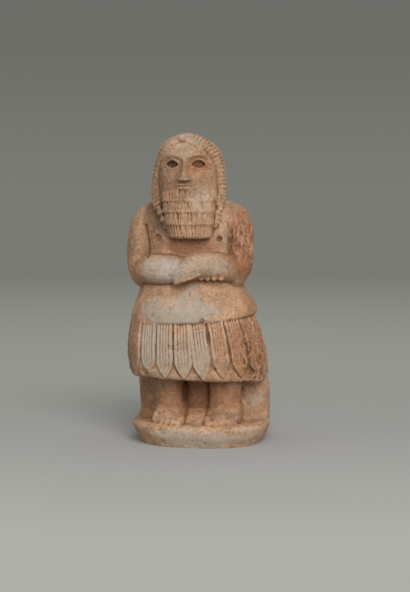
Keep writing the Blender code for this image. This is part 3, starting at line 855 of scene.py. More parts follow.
def face_relief(angle, z, points):
    """The features stand off the egg of the head, and the eye sockets sink into it."""
    across = points[:, :, 0] - FACE_MIDDLE
    side = np.abs(across)
    front = soften(-np.sin(angle), 0.05, 0.35)
    up = z - EYE_LINE
    within = within_eye(across, up)
    corner = np.abs(side - EYE_SPREAD) / EYE_HALF_WIDTH
    lids = 0.9 * bump(((within + 0.22) / 0.2) ** 2) * (1 - soften(corner, 1.0, 1.3))
    emptied = SOCKET_DEPTH * soften(within, -0.08, 0.4)
    socket = emptied + 1.7 * bump(((side - EYE_SPREAD) / 6.8) ** 4 + ((up - 0.3) / 5.0) ** 4)
    brow_line = BROW_RISE - 0.035 * (side - 8.5) ** 2
    brow = 1.1 * bump(((up - brow_line) / 1.2) ** 2) * soften(side, 1.5, 4) * (1 - soften(side, 14, 18))
    fall = np.clip((EYE_LINE + 4 - z) / (EYE_LINE + 4 - NOSE_BASE), 0, 1)
    width = NOSE_HALF_WIDTH + NOSE_WIDENING * fall**1.5
    nose = (NOSE_BRIDGE + NOSE_GROWTH * fall) * bump((side / width) ** 2)
    wings = 1.5 * bump(((side - 2.9) / 1.3) ** 2 + ((z - NOSE_BASE - 1.2) / 1.6) ** 2)
    nose = (nose + wings) * soften(z, NOSE_BASE - 1.0, NOSE_BASE + 0.8) * (1 - soften(up, 3, 8))
    cheek = CHEEK_DEPTH * bump(((side - 10.5) / 6.0) ** 2 + ((z - NOSE_BASE - 1.0) / 5.0) ** 2)
    parting = z - MOUTH_LINE + 0.012 * side**2
    upper_lip = bump(((parting - 1.1) / 0.9) ** 2) * bump((side / UPPER_LIP_HALF_WIDTH) ** 4)
    lower_lip = bump(((parting + 1.2) / 1.0) ** 2) * bump((side / LOWER_LIP_HALF_WIDTH) ** 4)
    groove = 0.5 * bump((side / 0.9) ** 2 + ((z - (NOSE_BASE + MOUTH_LINE) / 2 - 0.8) / 1.2) ** 2)
    between = 0.9 * bump((parting / 0.45) ** 2) * bump((side / 5.4) ** 4)
    raised = lids + brow + nose + cheek + LIP_DEPTH * (upper_lip + lower_lip) - between
    points[:, :, 1] -= front * (raised - groove - socket)
    return points


def foot(middle, half_width, big_side, toe_size):
    """The instep, and five toes in a row. big_side is the side of the big toe."""
    instep = limb(
        (
            (middle, -10, 8.0, 0.9 * half_width, 10.5),
            (middle, -20, 6.6, 0.95 * half_width, 8.4),
            (middle, -27.6, 4.4, 0.94 * half_width, 4.6),
        ),
        around=72,
    )
    forms = [instep]
    pitch = 2 * half_width / 5.1
    for toe in range(5):
        x = middle + big_side * (2 - toe) * pitch
        size = 0.48 * pitch * (1.25 if toe == 0 else 1.0)
        front = -36.6 + 0.4 * toe * toe
        lift = 0.3 * toe
        forms.append(
            limb(
                (
                    (middle + 0.85 * (x - middle), -24, 6.2, size, 2.4 * toe_size),
                    (x, -30.0, 4.2 + 0.8 * lift, size, 3.1 * toe_size),
                    (x - 0.12 * (x - middle), front, 2.0 + 0.8 * lift, 0.92 * size, 2.5 * toe_size),
                ),
                around=28,
            )
        )
    return forms


def lower_forms():
    return [
        turned(PLINTH, step=0.5, around=420),
        turned(SLAB, around=420),
        limb(PILLAR, up=(0, 1, 0)),
        limb(RAMP, around=72),
        turned(LEG_RIGHT, around=120),
        turned(LEG_LEFT, around=120),
        *foot(-18.6, 11.0, 1, 1.0),
        *foot(18.0, 12.2, -1, 0.8),
        turned(SKIRT, around=420, relief=under_skirt_relief),
        turned(WRAP, step=0.5, around=420, relief=wrap_relief),
    ]


def hand_forms():
    """The left hand lies over the right wrist, and the right fingertips show under the left forearm."""
    forms = [limb(HAND_LEFT), limb(HAND_RIGHT)]
    for finger in range(4):
        forms.append(
            limb(
                (
                    (2, -34.0, 108.4 - 2.3 * finger, 2.6, 1.15),
                    (-6, -35.6, 105.2 - 2.3 * finger, 2.4, 1.15),
                    (-11.5, -34.4, 102.8 - 2.1 * finger, 2.1, 1.1),
                    (-16.0 + 0.9 * finger, -31.9, 101.4 - 2.0 * finger, 1.6, 0.95),
                ),
                around=28,
            )
        )
        x = 3.6 + 4.4 * finger
        forms.append(limb(((x, -26.0, 100.6, 1.9, 1.8), (x, -30.0, 98.7, 1.8, 1.5)), around=28))
    return forms


def upper_forms():
    return [
        turned(CHEST, around=420, relief=chest_relief),
        turned(BACK, around=300),
        limb(UPPER_ARM_RIGHT, up=(0, 1, 0), around=120),
        limb(UPPER_ARM_LEFT, up=(0, 1, 0), around=120),
        limb(FOREARM_RIGHT, around=96),
        limb(FOREARM_LEFT, around=96),
        *hand_forms(),
    ]


def head_forms():
    """The hair, the face and the beard. The side lock is thin below the cheek."""
    side_lock = []
    for x, y, z, across, along in HAIR_EDGE:
        share = THIN_LOCK_SHARE if z < THIN_LOCK_BELOW else 1.0
        side_lock.append((x, y, z, share * across, share * along))
    thinner, flatter = BRAID_SHARES
    braid = [(x + BRAID_SHIFT, y, z, thinner * across, flatter * along) for x, y, z, across, along in BRAID]
    return [
        turned(HAIR, step=0.5, around=HAIR_STRANDS * 14, relief=hair_relief),
        turned(FACE, step=0.35, around=420, relief=face_relief),
        turned(BEARD, step=0.4, around=300, relief=beard_base_relief),
        limb(side_lock),
        moved(ellipsoid(*KNOT_SIZE), KNOT_PLACE),
        limb(braid, up=(0, 1, 0)),
        limb(HAIRLINE),
    ]


# Repeated carving

def tongue_blade(pitch):
    """A blade hung from under the wrap that follows the skirt's swell. Its ribs meet at its point."""
    rise = np.linspace(0, 1, 90)[:, None]
    across = np.linspace(-1, 1, 61)[None, :]
    z = TONGUE_TIP + (TONGUE_TOP - TONGUE_TIP) * rise
    spread = 1 - (1 - np.clip(rise / TONGUE_POINT_SHARE, 0, 1)) ** 1.4
    half = 0.5 * TONGUE_WIDTH_SHARE * pitch * (0.1 + 0.9 * spread) * (1 - TONGUE_TAPER * rise)
    outline = -section(SKIRT, z, -math.pi / 2)[:, :, 1]
    swell = outline - outline[0] - (outline[-1] - outline[0]) * rise
    border = soften(np.abs(across), 0.74, 0.84)
    ribs = 0.5 * RIB_DEPTH * (1 - border) * (np.cos(2 * math.pi * across / RIB_PITCH) - 1)
    rounded = 0.25 * border - 0.7 * np.abs(across) ** 14
    height = swell + ribs * soften(rise, 0.0, 0.1) * (0.6 + 0.4 * soften(rise, 0.2, 0.65)) + rounded
    front = np.stack([half * across, height, z - TONGUE_TIP + 0 * across], axis=2)
    return relief_block(front, TONGUE_SUNK)


def ridge_disc():
    """A round-edged disc across the braid, of the braid's own size at scale 1."""
    rise = np.linspace(-1, 1, 9)[:, None]
    radius = np.sqrt(1 - 0.45 * rise**2)
    angle = np.linspace(0, 2 * math.pi, 40, endpoint=False)[None, :]
    x, y = 0.89 * radius * np.cos(angle), 1.08 * radius * np.sin(angle)
    return skin(np.stack([x, y, 0.27 * rise + 0 * angle], axis=2))


def side_disc():
    """A low ridge across the hair at the figure's right temple."""
    rise = np.linspace(-1, 1, 7)[:, None]
    radius = 1.2 * np.sqrt(1 - 0.5 * rise**2)
    angle = np.linspace(0, 2 * math.pi, 40, endpoint=False)[None, :]
    return skin(np.stack([radius * np.cos(angle), radius * np.sin(angle), 0.24 * rise + 0 * angle], axis=2))


def beard_lock():
    """A lock that ends in a small curl, hung along Z."""
    return limb(
        (
            (0.0, -0.7, 8.0, 0.66, 1.2),
            (0.3, -0.4, 5.6, 0.7, 1.3),
            (-0.3, 0.0, 3.0, 0.7, 1.35),
            (0.2, 0.3, 1.0, 0.72, 1.25),
        ),
        up=(0, 1, 0),
        step=0.3,
        around=20,
    )


# Settings

class StatuetteCarving(PropertyGroup):
    tongue_count: IntProperty(
        name="Tongues", description="Tongues round the skirt", default=21, min=8, max=40
    )
    lock_pitch: FloatProperty(
        name="Beard lock width",
        description="Distance between the locks of the beard",
        default=0.0017,
        unit="LENGTH",
        precision=4,
    )
    ridge_pitch: FloatProperty(
        name="Braid ridge width",
        description="Distance between the ridges across the braid",
        default=0.0026,
        unit="LENGTH",
        precision=4,
    )
    curl_count: IntProperty(
        name="Curls", description="Bead curls at the end of the thin side lock", default=4
    )
    grain: FloatProperty(
        name="Grain",
        description="Size of the grid that fuses the carving into one stone",
        default=0.00046,
        unit="LENGTH",
        precision=5,
    )
    face_limit: IntProperty(name="Faces", description="Most faces on the finished stone", default=192000)


class StatuetteStone(PropertyGroup):
    wear: FloatProperty(
        name="Wear",
        description="How strongly the surface is weathered",
        default=1.0,
        subtype="FACTOR",
        max=2.0,
    )
    tan: FloatVectorProperty(
        name="Tan", description="Main colour of the stone", default=(0.455, 0.268, 0.150), subtype="COLOR"
    )
    warm: FloatVectorProperty(
        name="Warm", description="Orange stain in the stone", default=(0.400, 0.190, 0.082), subtype="COLOR"
    )
    sand: FloatVectorProperty(
        name="Sand", description="Light orange stone", default=(0.600, 0.350, 0.190), subtype="COLOR"
    )
    # Painted shade, with some brown staining: umber darkens the side that the key light leaves in shade, the
    # face and the toes
    umber_shade: FloatVectorProperty(
        name="Umber",
        description="Brown film over the shaded side",
        default=(0.185, 0.098, 0.046),
        subtype="COLOR",
    )
    red: FloatVectorProperty(
        name="Red", description="Red-brown stain", default=(0.330, 0.134, 0.057), subtype="COLOR"
    )
    pale: FloatVectorProperty(
        name="Pale", description="Bleached patches", default=(0.412, 0.330, 0.252), subtype="COLOR"
    )
    chalk: FloatVectorProperty(
        name="Chalk", description="Most bleached patches", default=(0.490, 0.405, 0.330), subtype="COLOR"
    )
    # Soil in the hollows, specks and pits; deep in the hollows this colour is also painted shade
    soil_and_shade: FloatVectorProperty(
        name="Soil",
        description="Burial soil left in the hollows",
        default=(0.130, 0.055, 0.025),
        subtype="COLOR",
    )
    roughness: FloatProperty(
        name="Roughness",
        description="Roughness of the open surface",
        default=0.58,
        subtype="FACTOR",
        max=1.0,
    )


class StatuetteStage(PropertyGroup):
    floor_colour: FloatVectorProperty(
        name="Floor",
        description="Colour of the floor near the figure",
        default=(0.435, 0.435, 0.418),
        subtype="COLOR",
    )
    backdrop_colour: FloatVectorProperty(
        name="Backdrop", description="Tone behind the figure", default=(0.196, 0.198, 0.177), subtype="COLOR"
    )
    key_power: FloatProperty(
        name="Key light",
        description="Power of the soft light from the upper right",
        default=25.0,
        unit="POWER",
    )
    fill_strength: FloatProperty(
        name="Fill", description="Strength of the light from all round", default=0.37
    )


# Stone

class Paint:
    """A new material, with short ways to add the nodes that the materials share."""

    def __init__(self, name):
        self.material = bpy.data.materials.new(name)
        self.material.use_nodes = True
        self.tree = self.material.node_tree
        self.tree.nodes.clear()
        self.add = adder(self.tree)
        self.place = self.add("ShaderNodeTexCoord", output="Object")

    def ranged(self, value, low, high, start=0.0, end=1.0):
        values = {"Value": value, "From Min": low, "From Max": high, "To Min": start, "To Max": end}
        return self.add("ShaderNodeMapRange", values, interpolation_type="SMOOTHSTEP")

    def calculated(self, operation, first, second):
        return self.add("ShaderNodeMath", {0: first, 1: second}, operation=operation)

    def mixed(self, mask, under, over):
        return self.add("ShaderNodeMix", {0: mask, 6: under, 7: over}, 2, data_type="RGBA")

    def finished(self, surface):
        add_node(self.tree, "ShaderNodeOutputMaterial", {"Surface": surface})
        return self.material


def toned(value, gain=1.0):
    """A colour for a socket, lighter or darker by the gain."""
    return tuple(min(1.0, part * gain) for part in value) + (1.0,)


def patch_group():
    """A soft egg-shaped mask about a middle, in mm."""
    inputs = {"Point": "Vector", "Middle": "Vector", "Reach": "Vector", "Strength": "Float"}
    tree, given = new_group("patch_mask", "ShaderNodeTree", inputs, {"Mask": "Float"})
    add = adder(tree)
    away = add("ShaderNodeVectorMath", {0: given["Point"], 1: given["Middle"]}, operation="SUBTRACT")
    share = add("ShaderNodeVectorMath", {0: away, 1: given["Reach"]}, operation="DIVIDE")
    length = add("ShaderNodeVectorMath", {0: share}, "Value", operation="LENGTH")
    fade = {"Value": length, "From Min": 0.72, "From Max": 1.18, "To Min": 1.0, "To Max": 0.0}
    mask = add("ShaderNodeMapRange", fade, interpolation_type="SMOOTHSTEP")
    strength = add("ShaderNodeMath", {0: mask, 1: given["Strength"]}, operation="MULTIPLY")
    add_node(tree, "NodeGroupOutput", {"Mask": strength})
    return tree


# Stained and bleached places, and places of painted shade and painted light: colour, middle and reach in mm
# above the ground, strength
PATCHES = (
    # Painted shade, with some brown staining: these umber places darken the hair, beard, arm and skirt at
    # the figure's right, which the key light leaves in shade, and the face
    ("umber_shade", (-29, -16, 170), (10, 18, 34), 0.9),
    ("umber_shade", (-47, -10, 62), (9, 22, 26), 0.6),
    ("umber_shade", (-15, -30, 160), (9, 10, 20), 0.4),
    ("umber_shade", (-26, -22, 145), (9, 8, 14), 0.5),
    # Painted shade: darkens the slab at the figure's right, in the skirt's shadow
    ("umber_shade", (-41, -6, 23), (10, 12, 24), 1.0),
    ("umber_shade", (-42, -6, 128), (10, 18, 26), 0.45),
    ("umber_shade", (-8, -26, 184), (22, 13, 20), 0.3),
    ("umber_shade", (-28, -30, 44), (14, 14, 7), 0.6),
    ("umber_shade", (-16, -26, 184), (9, 12, 8), 0.35),
    ("warm", (-4, -36, 44.5), (44, 14, 4.5), 0.6),
    ("warm", (44, -6, 96), (16, 40, 44), 0.6),
    ("warm", (-46, -12, 112), (7, 20, 16), 0.8),
    ("sand", (4, -30, 15), (42, 16, 4.5), 0.65),
    ("sand", (26, -30, 92), (16, 16, 10), 0.4),
    ("warm", (2, -28, 187), (8, 10, 8), 0.5),
    ("warm", (-10, 20, 40), (40, 22, 26), 0.5),
    ("red", (30.2, -12, 136), (12.5, 22, 26), 1.0),
    # Partly red staining, partly painted shadow: darkens the chest under the beard
    ("red", (-3.4, -25, 135.6), (20, 10, 6), 0.8),
    ("red", (38.3, -25, 63.6), (20, 30, 24), 0.75),
    # Partly red-brown staining, partly painted shade: darkens the legs and the slab under the skirt's hem
    ("red", (1.4, -20, 33), (32, 30, 12.5), 0.8),
    ("umber_shade", (0, -18, 34), (34, 26, 12), 0.25),
    ("red", (24, 26, 118), (18, 12, 26), 0.6),
    ("pale", (-21.3, -32, 118.6), (17, 14, 11), 0.95),
    ("chalk", (-22, -32, 119.5), (13, 14, 7), 0.75),
    ("pale", (6, -32, 122), (17, 12, 9), 0.5),
    ("pale", (-13, -34, 92.2), (30, 20, 9.5), 1.0),
    ("pale", (-3, -33, 101), (8, 12, 8), 0.8),
    ("pale", (-14, -38, 66), (29, 20, 23), 0.95),
    ("pale", (2.5, -32, 166), (9, 12, 12), 0.4),
    ("pale", (-12, -25, 198), (12, 12, 6), 0.3),
    ("chalk", (2.3, -41, 6.6), (36, 16, 7.0), 0.95),
    ("sunk_sand", (-4, -34, 47.5), (44, 16, 6.0), 0.9),
    ("chalk", (-33.5, -27, 66), (7, 14, 17), 0.55),
    # A red-brown darkening in and round the figure's left eye socket
    ("red", (0.8, -24, 189), (8.5, 14, 6.5), 0.95),
    ("sand", (-18, -33, 97.5), (8, 10, 3.5), 0.4),
    ("chalk", (-3, -35, 89), (12, 12, 8), 0.3),
    ("pale", (-8, -16, 207), (16, 14, 7), 0.5),
    ("pale", (33, -30, 8), (14, 18, 7), 0.9),
    ("chalk", (28, -34, 7), (12, 16, 4), 0.5),
    # Painted light: lightens the plinth's right side as light thrown up from the floor would
    ("sand", (36, -26, 8), (14, 18, 8), 0.4),
    ("sand", (-2, -40, 6), (36, 16, 8), 0.15),
    # Umber painted shade on the figure's left toes
    ("umber_shade", (19, -33, 19), (13, 10, 8), 0.3),
    # Painted shade: a warm darkening on the same slab, in the skirt's shadow
    ("warm", (-42, -6, 23), (10, 12, 22), 0.3),
    # Umber painted shade under the beard, at the figure's right
    ("umber_shade", (-16, -36, 138), (9, 12, 16), 0.3),
    ("sand", (-9, -37, 79), (10, 12, 5), 0.5),
    ("warm", (15.5, -34, 68), (3.4, 12, 13), 0.6),
    ("warm", (9, -31, 113), (12, 5, 3.2), 0.7),
    ("pale", (39.8, -6.5, 28.4), (8, 6, 7), 0.7),
    ("pale", (20, -15, 137), (2.5, 8, 10), 0.5),
    ("pale", (-22, 30, 86), (22, 14, 18), 0.6),
    ("pale", (-6, 22, 176), (18, 14, 16), 0.4),
)


def stone_material(stone):
    """Tan alabaster, stained and bleached in patches, with painted shade on its shaded side, soil and
    painted shade in its hollows, and bare edges lightened partly as painted highlights.
    """
    paint = Paint(STONE)
    ranged, calculated, mixed = paint.ranged, paint.calculated, paint.mixed
    patch = patch_group()
    point = paint.add("ShaderNodeVectorMath", {0: paint.place, "Scale": 1000.0}, operation="SCALE")

    def noise(size, detail=3.0, roughness=0.55, distortion=0.0, source=point, output="Fac"):
        """Noise whose lumps are about that many mm across."""
        values = {"Vector": source, "Scale": 1 / size, "Detail": detail}
        return paint.add(
            "ShaderNodeTexNoise", {**values, "Roughness": roughness, "Distortion": distortion}, output
        )

    def attribute(name):
        return paint.add("ShaderNodeAttribute", output="Fac", attribute_name=name)

    # The patches' outlines are broken up by two sizes of noise
    frayed = point
    for size, detail, reach in ((9.0, 2.0, 9.0), (2.2, 4.0, 5.0)):
        lumps = {0: noise(size, detail, output="Color"), 1: (0.5, 0.5, 0.5)}
        shift = paint.add("ShaderNodeVectorMath", lumps, operation="SUBTRACT")
        moves = {0: shift, 1: (reach, reach, reach), 2: frayed}
        frayed = paint.add("ShaderNodeVectorMath", moves, operation="MULTIPLY_ADD")

    hollow = attribute("hollow")
    edge = attribute("edge")
    chip = attribute("fresh")

    cloud = ranged(noise(13.0, 4.0, distortion=0.6), 0.36, 0.66)
    base = mixed(cloud, toned(stone.tan, 0.78), toned(stone.tan, 1.16))
    rosy = ranged(noise(26.0, 2.0), 0.45, 0.7, 0.0, 0.45)
    base = mixed(rosy, base, toned((stone.tan[0] * 1.02, stone.tan[1] * 0.95, stone.tan[2] * 1.12)))
    stain = ranged(noise(7.0, 5.0, distortion=1.2), 0.55, 0.72, 0.0, 0.5)
    base = mixed(stain, base, toned(stone.warm))
    paleness = None
    for name, middle, reach, strength in PATCHES:
        values = {"Point": frayed, "Middle": middle, "Reach": reach, "Strength": strength}
        amount = paint.add("ShaderNodeGroup", values, "Mask", node_tree=patch)
        if name in ("pale", "chalk"):
            # Bleaching fades out in the hollows, which keep their soil and painted shade
            amount = calculated("MULTIPLY", amount, ranged(hollow, 0.12, 0.5, 1.0, 0.15))
            paleness = amount if paleness is None else calculated("MAXIMUM", paleness, amount)
        if name == "sunk_sand":
            amount = calculated("MULTIPLY", amount, ranged(hollow, 0.03, 0.16))
            name = "sand"
        base = mixed(amount, base, toned(getattr(stone, name)))
    # Partly orange staining, partly painted shade: a darker orange in the hollows, where shade falls
    base = mixed(ranged(hollow, 0.07, 0.42, 0.0, 0.8), base, toned(stone.warm, 0.8))
    bleached = ranged(noise(3.4, 5.0, roughness=0.65), 0.5, 0.66, 0.0, 0.22)
    base = mixed(bleached, base, toned(stone.pale, 0.94))
    # The raised edges are lighter: partly bare worn stone, partly painted highlight
    worn = calculated("MULTIPLY", edge, ranged(noise(5.0), 0.35, 0.6, 0.35, 0.85))
    bare_and_highlit_edge = toned((stone.tan[0] * 1.18, stone.tan[1] * 1.3, stone.tan[2] * 1.5))
    base = mixed(worn, base, mixed(paleness, bare_and_highlit_edge, toned(stone.chalk, 1.15)))
    base = mixed(calculated("MULTIPLY", chip, 0.55), base, toned(stone.tan, 1.12))

    calm = calculated("SUBTRACT", 1.0, calculated("MULTIPLY", paleness, 0.85))
    for size, low, high in ((5.5, 0.84, 1.12), (1.7, 0.82, 1.16)):
        mottle = ranged(noise(size, 4.0, roughness=0.6), 0.32, 0.68, low, high)
        mottled = paint.add("ShaderNodeVectorMath", {0: base, "Scale": mottle}, operation="SCALE")
        base = mixed(ranged(calm, 0.0, 0.8, 0.45, 1.0), base, mottled)

    # Soil lies in the hollows, and is also painted shade there, darkest where they are deep, with a thin
    # film and specks over the rest
    patchy = ranged(noise(6.0, 4.0), 0.3, 0.62, 0.55, 1.0)
    soil_and_shade = calculated("MULTIPLY", ranged(hollow, 0.2, 0.85, 0.0, 0.8), patchy)
    base = mixed(soil_and_shade, base, toned(stone.soil_and_shade))
    # A dark colour deep in the eye sockets
    base = mixed(calculated("MULTIPLY", attribute("socket"), 0.9), base, SOCKET_DARK)
    film = ranged(noise(4.4, 6.0, roughness=0.7), 0.54, 0.72, 0.0, 0.5)
    base = mixed(calculated("MULTIPLY", film, calm), base, toned(stone.warm, 0.7))
    specks = ranged(noise(0.9, 2.0), 0.64, 0.74, 0.0, 0.5)
    base = mixed(calculated("MULTIPLY", specks, calm), base, toned(stone.soil_and_shade, 1.4))
    grains = ranged(noise(0.55, 2.0, source=frayed), 0.62, 0.7, 0.0, 0.3)
    base = mixed(grains, base, toned(stone.pale, 1.25))

    pits = {"Vector": frayed, "Scale": 0.42, "Randomness": 1.0}
    pitted = ranged(paint.add("ShaderNodeTexVoronoi", pits, "Distance"), 0.1, 0.26, 1.0, 0.0)
    pitted = calculated("MULTIPLY", pitted, ranged(noise(11.0, 2.0), 0.5, 0.62))
    base = mixed(calculated("MULTIPLY", pitted, 0.5), base, toned(stone.soil_and_shade, 1.3))

    height = calculated("MULTIPLY", noise(1.3, 6.0, roughness=0.7), 1.1)
    height = calculated("ADD", height, calculated("MULTIPLY", noise(3.2), 0.9))
    height = calculated("SUBTRACT", height, calculated("MULTIPLY", pitted, 0.7))
    relief = paint.add("ShaderNodeBump", {"Height": height, "Distance": 0.0005, "Strength": 0.95})
    gloss = ranged(noise(8.0, 4.0), 0.35, 0.65, stone.roughness + 0.1, stone.roughness - 0.12)
    gloss = calculated("ADD", gloss, calculated("MULTIPLY", hollow, 0.3))
    values = {
        "Base Color": base,
        "Roughness": gloss,
        "Normal": relief,
        "Specular IOR Level": 0.4,
        "Subsurface Weight": 0.1,
        "Subsurface Radius": (1.0, 0.45, 0.2),
        "Subsurface Scale": 0.0016,
    }
    return paint.finished(paint.add("ShaderNodeBsdfPrincipled", values))


# Fusing and weathering

class Surface:
    """A mesh's points in mm above the ground, with the sums over neighbours that weathering needs."""

    def __init__(self, mesh):
        points, self.triangles = arrays_of(mesh)
        self.points = points * 1000
        pairs = np.vstack([self.triangles[:, [0, 1]], self.triangles[:, [1, 2]], self.triangles[:, [2, 0]]])
        self.first = np.concatenate([pairs[:, 0], pairs[:, 1]])
        self.second = np.concatenate([pairs[:, 1], pairs[:, 0]])
        self.count = len(points)
        self.share = 1 / np.maximum(np.bincount(self.first, minlength=self.count), 1)

    def mean(self, values):
        """The mean of each point's neighbours."""
        columns = []
        for column in np.atleast_2d(values.T):
            columns.append(np.bincount(self.first, column[self.second], self.count))
        return (np.stack(columns, axis=1) * self.share[:, None]).reshape(values.shape)

    def smooth(self, passes, weight):
        for _ in range(passes):
            self.points += weight * (self.mean(self.points) - self.points)

    def normals(self):
        corner = self.points[self.triangles]
        face = np.cross(corner[:, 1] - corner[:, 0], corner[:, 2] - corner[:, 0])
        columns = []
        for axis in range(3):
            corners = (np.bincount(self.triangles[:, n], face[:, axis], self.count) for n in range(3))
            columns.append(sum(corners))
        return unit(np.stack(columns, axis=1) + 1e-12)


def groove_mask(points, start, end, width):
    """1 on the line from start to end across the front, fading to 0 at the width to either side of it."""
    place = points[:, (0, 2)]
    start, end = np.array(start, float), np.array(end, float)
    along = end - start
    share = np.clip((place - start) @ along / (along @ along), 0, 1)
    away = np.linalg.norm(place - start - share[:, None] * along, axis=1)
    return (1 - soften(away / width, 0.1, 1.0)) * soften(-points[:, 1], 8, 12)


def place_mask(points, middle, reach):
    """1 inside an egg-shaped place and 0 outside it."""
    away = np.linalg.norm((points - np.array(middle)) / np.array(reach), axis=1)
    return 1 - soften(away, 0.6, 1.1)


def weathered(surface, wear):
    """Wears, roughens, chips and cuts the surface. Returns each point's share in a chip and in a flake."""
    surface.smooth(1, 0.5)
    worn = np.zeros(surface.count)
    for middle, reach, amount in SMOOTH_PLACES:
        worn = np.maximum(worn, amount * place_mask(surface.points, middle, reach))
    surface.smooth(14, 0.5 * worn[:, None] * wear)
    points = surface.points
    rough = np.zeros(surface.count)
    for middle, reach, amount in ROUGH_PLACES:
        rough = np.maximum(rough, amount * place_mask(points, middle, reach))
    rough *= soften(layered_noise(points, 9.0, 2, 5), -0.8, 0.4)
    away = 0.3 * layered_noise(points, 14.0, 2, 11) + 0.13 * layered_noise(points, 4.5, 2, 21)
    crags = 1 - 2 * np.abs(layered_noise(points * (1.0, 1.0, 0.5), 3.4, 3, 31))
    away += rough * (0.7 * crags - 0.55)
    flakes = soften(layered_noise(points, 6.5, 3, 41), 0.55, 0.75)
    away -= 0.3 * flakes
    chipped = np.zeros(surface.count)
    for x, y, z, radius, depth in CHIPS:
        ragged = radius * (1 + 0.3 * layered_noise(points, 2.6, 2, 51))
        near = np.clip(1 - np.linalg.norm(points - np.array((x, y, z), float), axis=1) / ragged, 0, 1)
        sunk = soften(near, 0.0, 0.45)
        away -= depth * sunk
        chipped = np.maximum(chipped, sunk)
    cut = np.zeros(surface.count)
    for start, end, width, depth in CUTS:
        cut = np.maximum(cut, depth * groove_mask(points, start, end, width))
    away -= cut
    standing = soften(points[:, 2], 1.2, 3.0)
    surface.points = points + surface.normals() * (wear * away * standing)[:, None]
    surface.smooth(1, 0.35)
    return chipped, flakes


def depth_marks(surface):
    """How deep each point lies in a groove, and how far it stands out on an edge, both from 0 to 1."""
    normals = surface.normals()
    around = surface.points.copy()
    hollow, edge = np.zeros(surface.count), np.zeros(surface.count)
    for passes, full in ((10, 0.34), (45, 1.0)):
        for _ in range(passes):
            around = around + 0.5 * (surface.mean(around) - around)
        sunk = ((around - surface.points) * normals).sum(axis=1)
        hollow = np.maximum(hollow, np.clip(sunk / full, 0, 1))
        edge = np.maximum(edge, np.clip(-sunk / full - 0.15, 0, 1))
    return hollow, edge


def socket_mark(points):
    """How much of the dark socket colour each point takes for lying in an eye socket. The figure's left
    socket takes less.
    """
    module = 1000 * MODULE
    across = points[:, 0] / module - FACE_MIDDLE
    up = (points[:, 2] - 1000 * PLINTH_HEIGHT) / module - EYE_LINE
    inside = soften(within_eye(across, up), 0.0, 0.3) * soften(-points[:, 1], 12, 16)
    return inside * np.where(across < 0, 1.0, LEFT_SOCKET_DARK)


def with_modifier(carved, name, kind, **settings):
    """Applies one modifier to the object's mesh."""
    modifier = carved.modifiers.new(name, kind)
    for label, value in settings.items():
        setattr(modifier, label, value)
    made = plain_mesh(carved)
    carved.modifiers.clear()
    carved.data = made


# Stage

def stage_sheet(name, rings, middle=False):
    """A sheet over rings round the figure, each a radius and a height. It can be closed in the middle."""
    angle = np.linspace(0, 2 * math.pi, STAGE_SIDES, endpoint=False)
    turn = np.arange(STAGE_SIDES)
    after = (turn + 1) % STAGE_SIDES
    points = [np.zeros((1, 3))] if middle else []
    triangles = [np.stack([0 * turn, 1 + turn, 1 + after], axis=1)] if middle else []
    outer = len(points)
    for ring, (radius, height) in enumerate(rings):
        x, y = radius * np.cos(angle), radius * np.sin(angle)
        points.append(np.stack([x, y, 0 * angle + height], axis=1))
        if ring > 0:
            inner, outer = outer, outer + STAGE_SIDES
            triangles.append(np.stack([inner + turn, outer + turn, outer + after], axis=1))
            triangles.append(np.stack([inner + turn, outer + after, inner + after], axis=1))
    return mesh_object(name, np.vstack(points), np.vstack(triangles))


def floor_disc(stage):
    """A wide floor that is pale under the figure, and fades to the backdrop's tone away from it. Away from
    the figure it glows with painted light, brightest in front and darker further out.
    """
    rings = [(radius, 0.0) for radius in np.geomspace(FLOOR_FIRST_RING, STAGE_RADIUS, FLOOR_RINGS)]
    floor = stage_sheet("floor", rings, middle=True)
    paint = Paint("pale_floor")
    away = paint.add("ShaderNodeVectorMath", {0: paint.place}, "Value", operation="LENGTH")
    fade = paint.ranged(away, *FLOOR_FADE)
    darker = paint.ranged(away, *FLOOR_DARKENING)
    depth = paint.add("ShaderNodeSeparateXYZ", {0: paint.place}, "Y")
    front_tone, middle_tone, far_tone = (toned(stage.backdrop_colour, gain) for gain in FLOOR_TONES)
    near_tone = paint.mixed(paint.ranged(depth, *FLOOR_FRONT, 1.0, 0.0), middle_tone, front_tone)
    near = paint.add("ShaderNodeBsdfDiffuse", {"Color": toned(stage.floor_colour)})
    # Painted light: the glowing outer floor is brightest in front and darkens further out, as the lamps'
    # light falls off
    far = paint.add("ShaderNodeEmission", {"Color": paint.mixed(darker, near_tone, far_tone)})
    both = paint.add("ShaderNodeMixShader", {0: fade, 1: near, 2: far})
    floor.data.materials.append(paint.finished(both))
    return floor


def backdrop_wall(stage):
    """A round wall far behind the floor, lighter at its foot. Only the camera sees it."""
    rings = [(STAGE_RADIUS, height) for height in np.linspace(0.0, WALL_HEIGHT, WALL_RINGS)]
    wall = stage_sheet("backdrop", rings)
    paint = Paint("backdrop_tone")
    rise = paint.ranged(paint.add("ShaderNodeSeparateXYZ", {0: paint.place}, "Z"), *WALL_FADE)
    tone = paint.mixed(rise, toned(stage.backdrop_colour), toned(stage.backdrop_colour, WALL_TOP_TONE))
    wall.data.materials.append(paint.finished(paint.add("ShaderNodeEmission", {"Color": tone})))
    wall.visible_diffuse = wall.visible_glossy = wall.visible_transmission = wall.visible_shadow = False
    return wall


